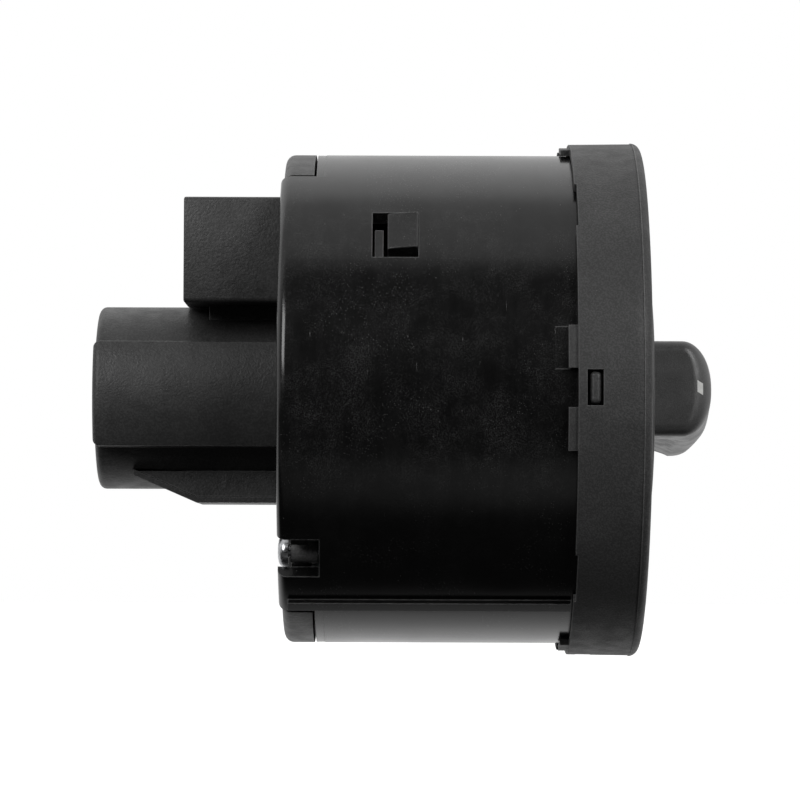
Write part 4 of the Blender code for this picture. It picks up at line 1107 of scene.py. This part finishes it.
def make_springs():
    collar = Vector((COLLAR_FACE_X, 0.0, 0.0))
    disc = Vector((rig.box("knob")[0].x, 0.0, 0.0))
    along = Vector((GAP, 0.0, 0.0))
    outer_r, wire_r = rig.box("return_spring")[1].z, 0.25 * MM
    spring = make_coil("return_spring", "shaft", collar + along, disc - along, outer_r, wire_r, 2)
    shorten(spring, "knob_push", collar, disc)
    low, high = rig.box("detent_plunger")
    middle_x = (low.x + high.x) / 2.0
    half_width = (high.x - low.x) / 2.0
    plunger_r = math.hypot(high.y, high.z) - half_width
    outer_r, wire_r = 1.2 * MM, 0.2 * MM
    ends = [at(middle_x, radius, DETENT_ANGLE) for radius in
            (plunger_r, plunger_r + GAP, plunger_r + DETENT_SPACE - GAP, plunger_r + DETENT_SPACE)]
    spring = make_coil("detent_spring", "housing_unit", ends[1], ends[2], outer_r, wire_r, 4)
    shorten(spring, "detent_press", ends[3], ends[0])


# ---------------------------------------------------------------- dial
def make_dial():
    low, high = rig.box("dial")
    face_x, out_r = high.x, high.z
    chamfer, swell = 0.3 * MM, 0.0001 * MM
    swell_r = (21.4 * MM, 22.0 * MM)
    profile = [(low.x, out_r), (low.x, KNOB_WELL_R), (face_x - chamfer, KNOB_WELL_R),
               (face_x, KNOB_WELL_R + chamfer), (face_x, swell_r[0]), (face_x + swell, swell_r[1]),
               (face_x, out_r)]
    finish_mesh(turned(profile[::-1], 192), "dial_plate", "dial_plastic", "housing_unit", ["dial"])
    print_x, half = face_x + PRINT_T, 0.2 * MM
    for i, turn in enumerate(MARK_ANGLES):
        angle = turn + KNOB_ANGLE
        tick = bmesh.new()
        add_box(tick, (face_x, -MARK_R[1], -half), (print_x, -MARK_R[0], half), angle)
        finish_mesh(tick, f"dial_tick_{i}", "white_print", "housing_unit")
        if i == 0:
            dot = turned([(print_x, 0.0), (print_x, DOT_R), (face_x, DOT_R), (face_x, 0.0)], 32,
                         closed=False)
            bmesh.ops.translate(dot, verts=dot.verts, vec=at(0.0, DOT_PLACE_R, angle))
            finish_mesh(dot, "dial_dot", "white_print", "housing_unit")
        else:
            add_numeral(str(i - 1), angle, face_x)


def add_numeral(text, angle, face_x):
    curve = bpy.data.curves.new("numeral", "FONT")
    curve.body = text
    curve.size = NUMERAL_SIZE
    curve.extrude = PRINT_T / 2.0
    curve.align_x = "CENTER"
    curve.align_y = "CENTER"
    source = bpy.data.objects.new("numeral_source", curve)
    bpy.context.scene.collection.objects.link(source)
    bpy.context.view_layer.update()
    depsgraph = bpy.context.evaluated_depsgraph_get()
    mesh = bpy.data.meshes.new_from_object(source.evaluated_get(depsgraph))
    bpy.data.objects.remove(source)
    upright = Matrix(((0.0, 0.0, 1.0), (0.0, -1.0, 0.0), (1.0, 0.0, 0.0))).to_4x4()
    place = at(face_x + PRINT_T / 2.0, NUMERAL_R, angle)
    mesh.transform(Matrix.Translation(place) @ upright)
    finish_object(mesh, f"dial_numeral_{text}", "white_print", "housing_unit")


# ---------------------------------------------------------------- carried-over CAD pieces
def dress_nodes():
    """Give every CAD node its slot's material, and soften the ones that show."""
    slots = {s["node"]: s["material_slot"] for s in frame["record"]["subparts"]}
    for name, obj in frame["nodes"].items():
        obj.data.materials.clear()
        obj.data.materials.append(MATERIALS[slots[name]])
        if "terminal" in name:
            soften(obj, 0.16 * MM, 2)


# ---------------------------------------------------------------- stage, light and camera
def make_floor():
    """White to the camera, and a sheet that fades towards it to the object's gloss."""
    half, drop = 6.0, 0.085
    mesh = bpy.data.meshes.new("floor")
    mesh.from_pydata([(-half, -half, -drop), (half, -half, -drop), (half, half, -drop),
                      (-half, half, -drop)], [], [(0, 1, 2, 3)])
    floor = bpy.data.objects.new("floor", mesh)
    bpy.context.scene.collection.objects.link(floor)
    s = Shader("floor_paper")
    s.set(Base_Color=s.mix(s.ramp(s.noise(0.02), 0.3, 0.7), grey(0.80), grey(0.83)),
          Roughness=0.9, Specular_IOR_Level=0.1)
    shown = s.add("AddShader")
    s.put(shown.inputs[0], s.bsdf.outputs[0])
    s.put(shown.inputs[1], s.add("Emission", Color=grey(1.0), Strength=0.62).outputs[0])
    x, y, _ = s.add("SeparateXYZ", Vector=s.coords).outputs
    near = s.ramp(y, -0.006, 0.024, 0.02, 0.60, False)
    far = s.ramp(y, 0.024, 0.060, 0.0, 0.24, False)
    front = s.math("MULTIPLY", s.ramp(y, -0.19, -0.12, 0.0, 0.20), s.ramp(y, -0.065, -0.105))
    front = s.math("MULTIPLY", front, s.ramp(x, -0.05, 0.01, 0.45, 1.0))
    glossy = s.add("LightPath").outputs["Is Glossy Ray"]
    lit = s.math("MULTIPLY", s.math("ADD", s.math("ADD", near, far), front),
                 s.ramp(glossy, 0.0, 1.0, 0.10, 1.0, False))
    s.split_rays(s.add("Emission", Color=grey(1.0), Strength=lit), shown, "Material Output")
    mesh.materials.append(s.material)
    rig.stage(floor)


def make_world():
    """A white sweep behind and above, brighter sides, and a dim studio in front."""
    world = bpy.data.worlds.new("studio")
    bpy.context.scene.world = world
    world.use_nodes = True
    s = Nodes(world.node_tree, "Generated")
    seen = s.tree.nodes["Background"]
    seen.inputs["Color"].default_value = grey(1.0)
    seen.inputs["Strength"].default_value = 1.0
    x, y, z = s.add("SeparateXYZ", Vector=s.coords).outputs
    over = s.math("ARCTAN2", z, s.math("MULTIPLY", y, -1.0))

    def band(start, end, strength):
        """Light that grows between two angles, going over the object from the camera."""
        return s.ramp(over, math.radians(start), math.radians(end), 0.0, strength)

    ceiling, strip = band(57.0, 71.0, 0.78), band(99.0, 112.0, 0.60)
    fade, dim = band(125.0, 160.0, -0.45), band(-5.0, 55.0, 0.06)
    upper = s.math("ADD", s.math("ADD", ceiling, strip), s.math("ADD", fade, dim))
    left = s.ramp(s.math("MULTIPLY", x, -1.0), 0.80, 0.97, 0.0, 0.75)
    sides = s.math("MAXIMUM", left, s.ramp(x, 0.62, 0.90, 0.0, 1.25))
    light = s.add("Background", Strength=s.math("MAXIMUM", upper, sides))
    s.split_rays(light, seen, "World Output")


def area_light(name, azimuth, elevation, distance, size, power):
    """A soft square lamp; azimuth is from -Y towards +X."""
    azimuth, elevation = math.radians(azimuth), math.radians(elevation)
    way = Vector((math.sin(azimuth) * math.cos(elevation), -math.cos(azimuth) * math.cos(elevation),
                  math.sin(elevation)))
    lamp = bpy.data.lights.new(name, "AREA")
    lamp.shape = "SQUARE"
    lamp.size = size
    lamp.energy = power
    obj = bpy.data.objects.new(name, lamp)
    bpy.context.scene.collection.objects.link(obj)
    aim = Vector((-0.02, 0.0, 0.0))
    obj.location = aim + way * distance
    obj.rotation_euler = (-way).to_track_quat("-Z", "Y").to_euler()


def make_lights():
    area_light("left_softbox", -36.0, 24.0, 1.1, 0.5, 4.9)
    area_light("right_softbox", 36.0, 24.0, 1.1, 0.5, 4.9)


def make_camera():
    """Side view from slightly below, at the switch's middle."""
    camera = bpy.data.cameras.new("camera")
    camera.sensor_width = 36.0
    camera.lens = 166.5
    camera.clip_start = 0.01
    obj = bpy.data.objects.new("camera", camera)
    bpy.context.scene.collection.objects.link(obj)
    tilt = math.radians(-2.6)
    roll = math.radians(0.21)
    distance = 0.492
    aim = Vector((-22.14 * MM, 0.0, -0.13 * MM))
    obj.location = aim + Vector((0.0, -math.cos(tilt), math.sin(tilt))) * distance
    turn = Matrix.Rotation(QUARTER - tilt, 3, "X") @ Matrix.Rotation(roll, 3, "Z")
    obj.rotation_euler = turn.to_euler()
    bpy.context.scene.camera = obj


bpy.context.scene.view_settings.view_transform = "Standard"
make_camera()
make_world()
make_lights()
make_floor()
dress_nodes()
make_housing()
make_bezel()
make_rear_cover()
make_round_socket()
make_block_socket()
make_screws()
make_latches()
make_knob()
make_pointer()
make_springs()
make_dial()

sizes = {"cad": [list(corner) for corner in CAD_BOX],
         "visual": [list(corner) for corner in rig.bounds()]}
with open("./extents.json", "w") as out:
    json.dump(sizes, out)
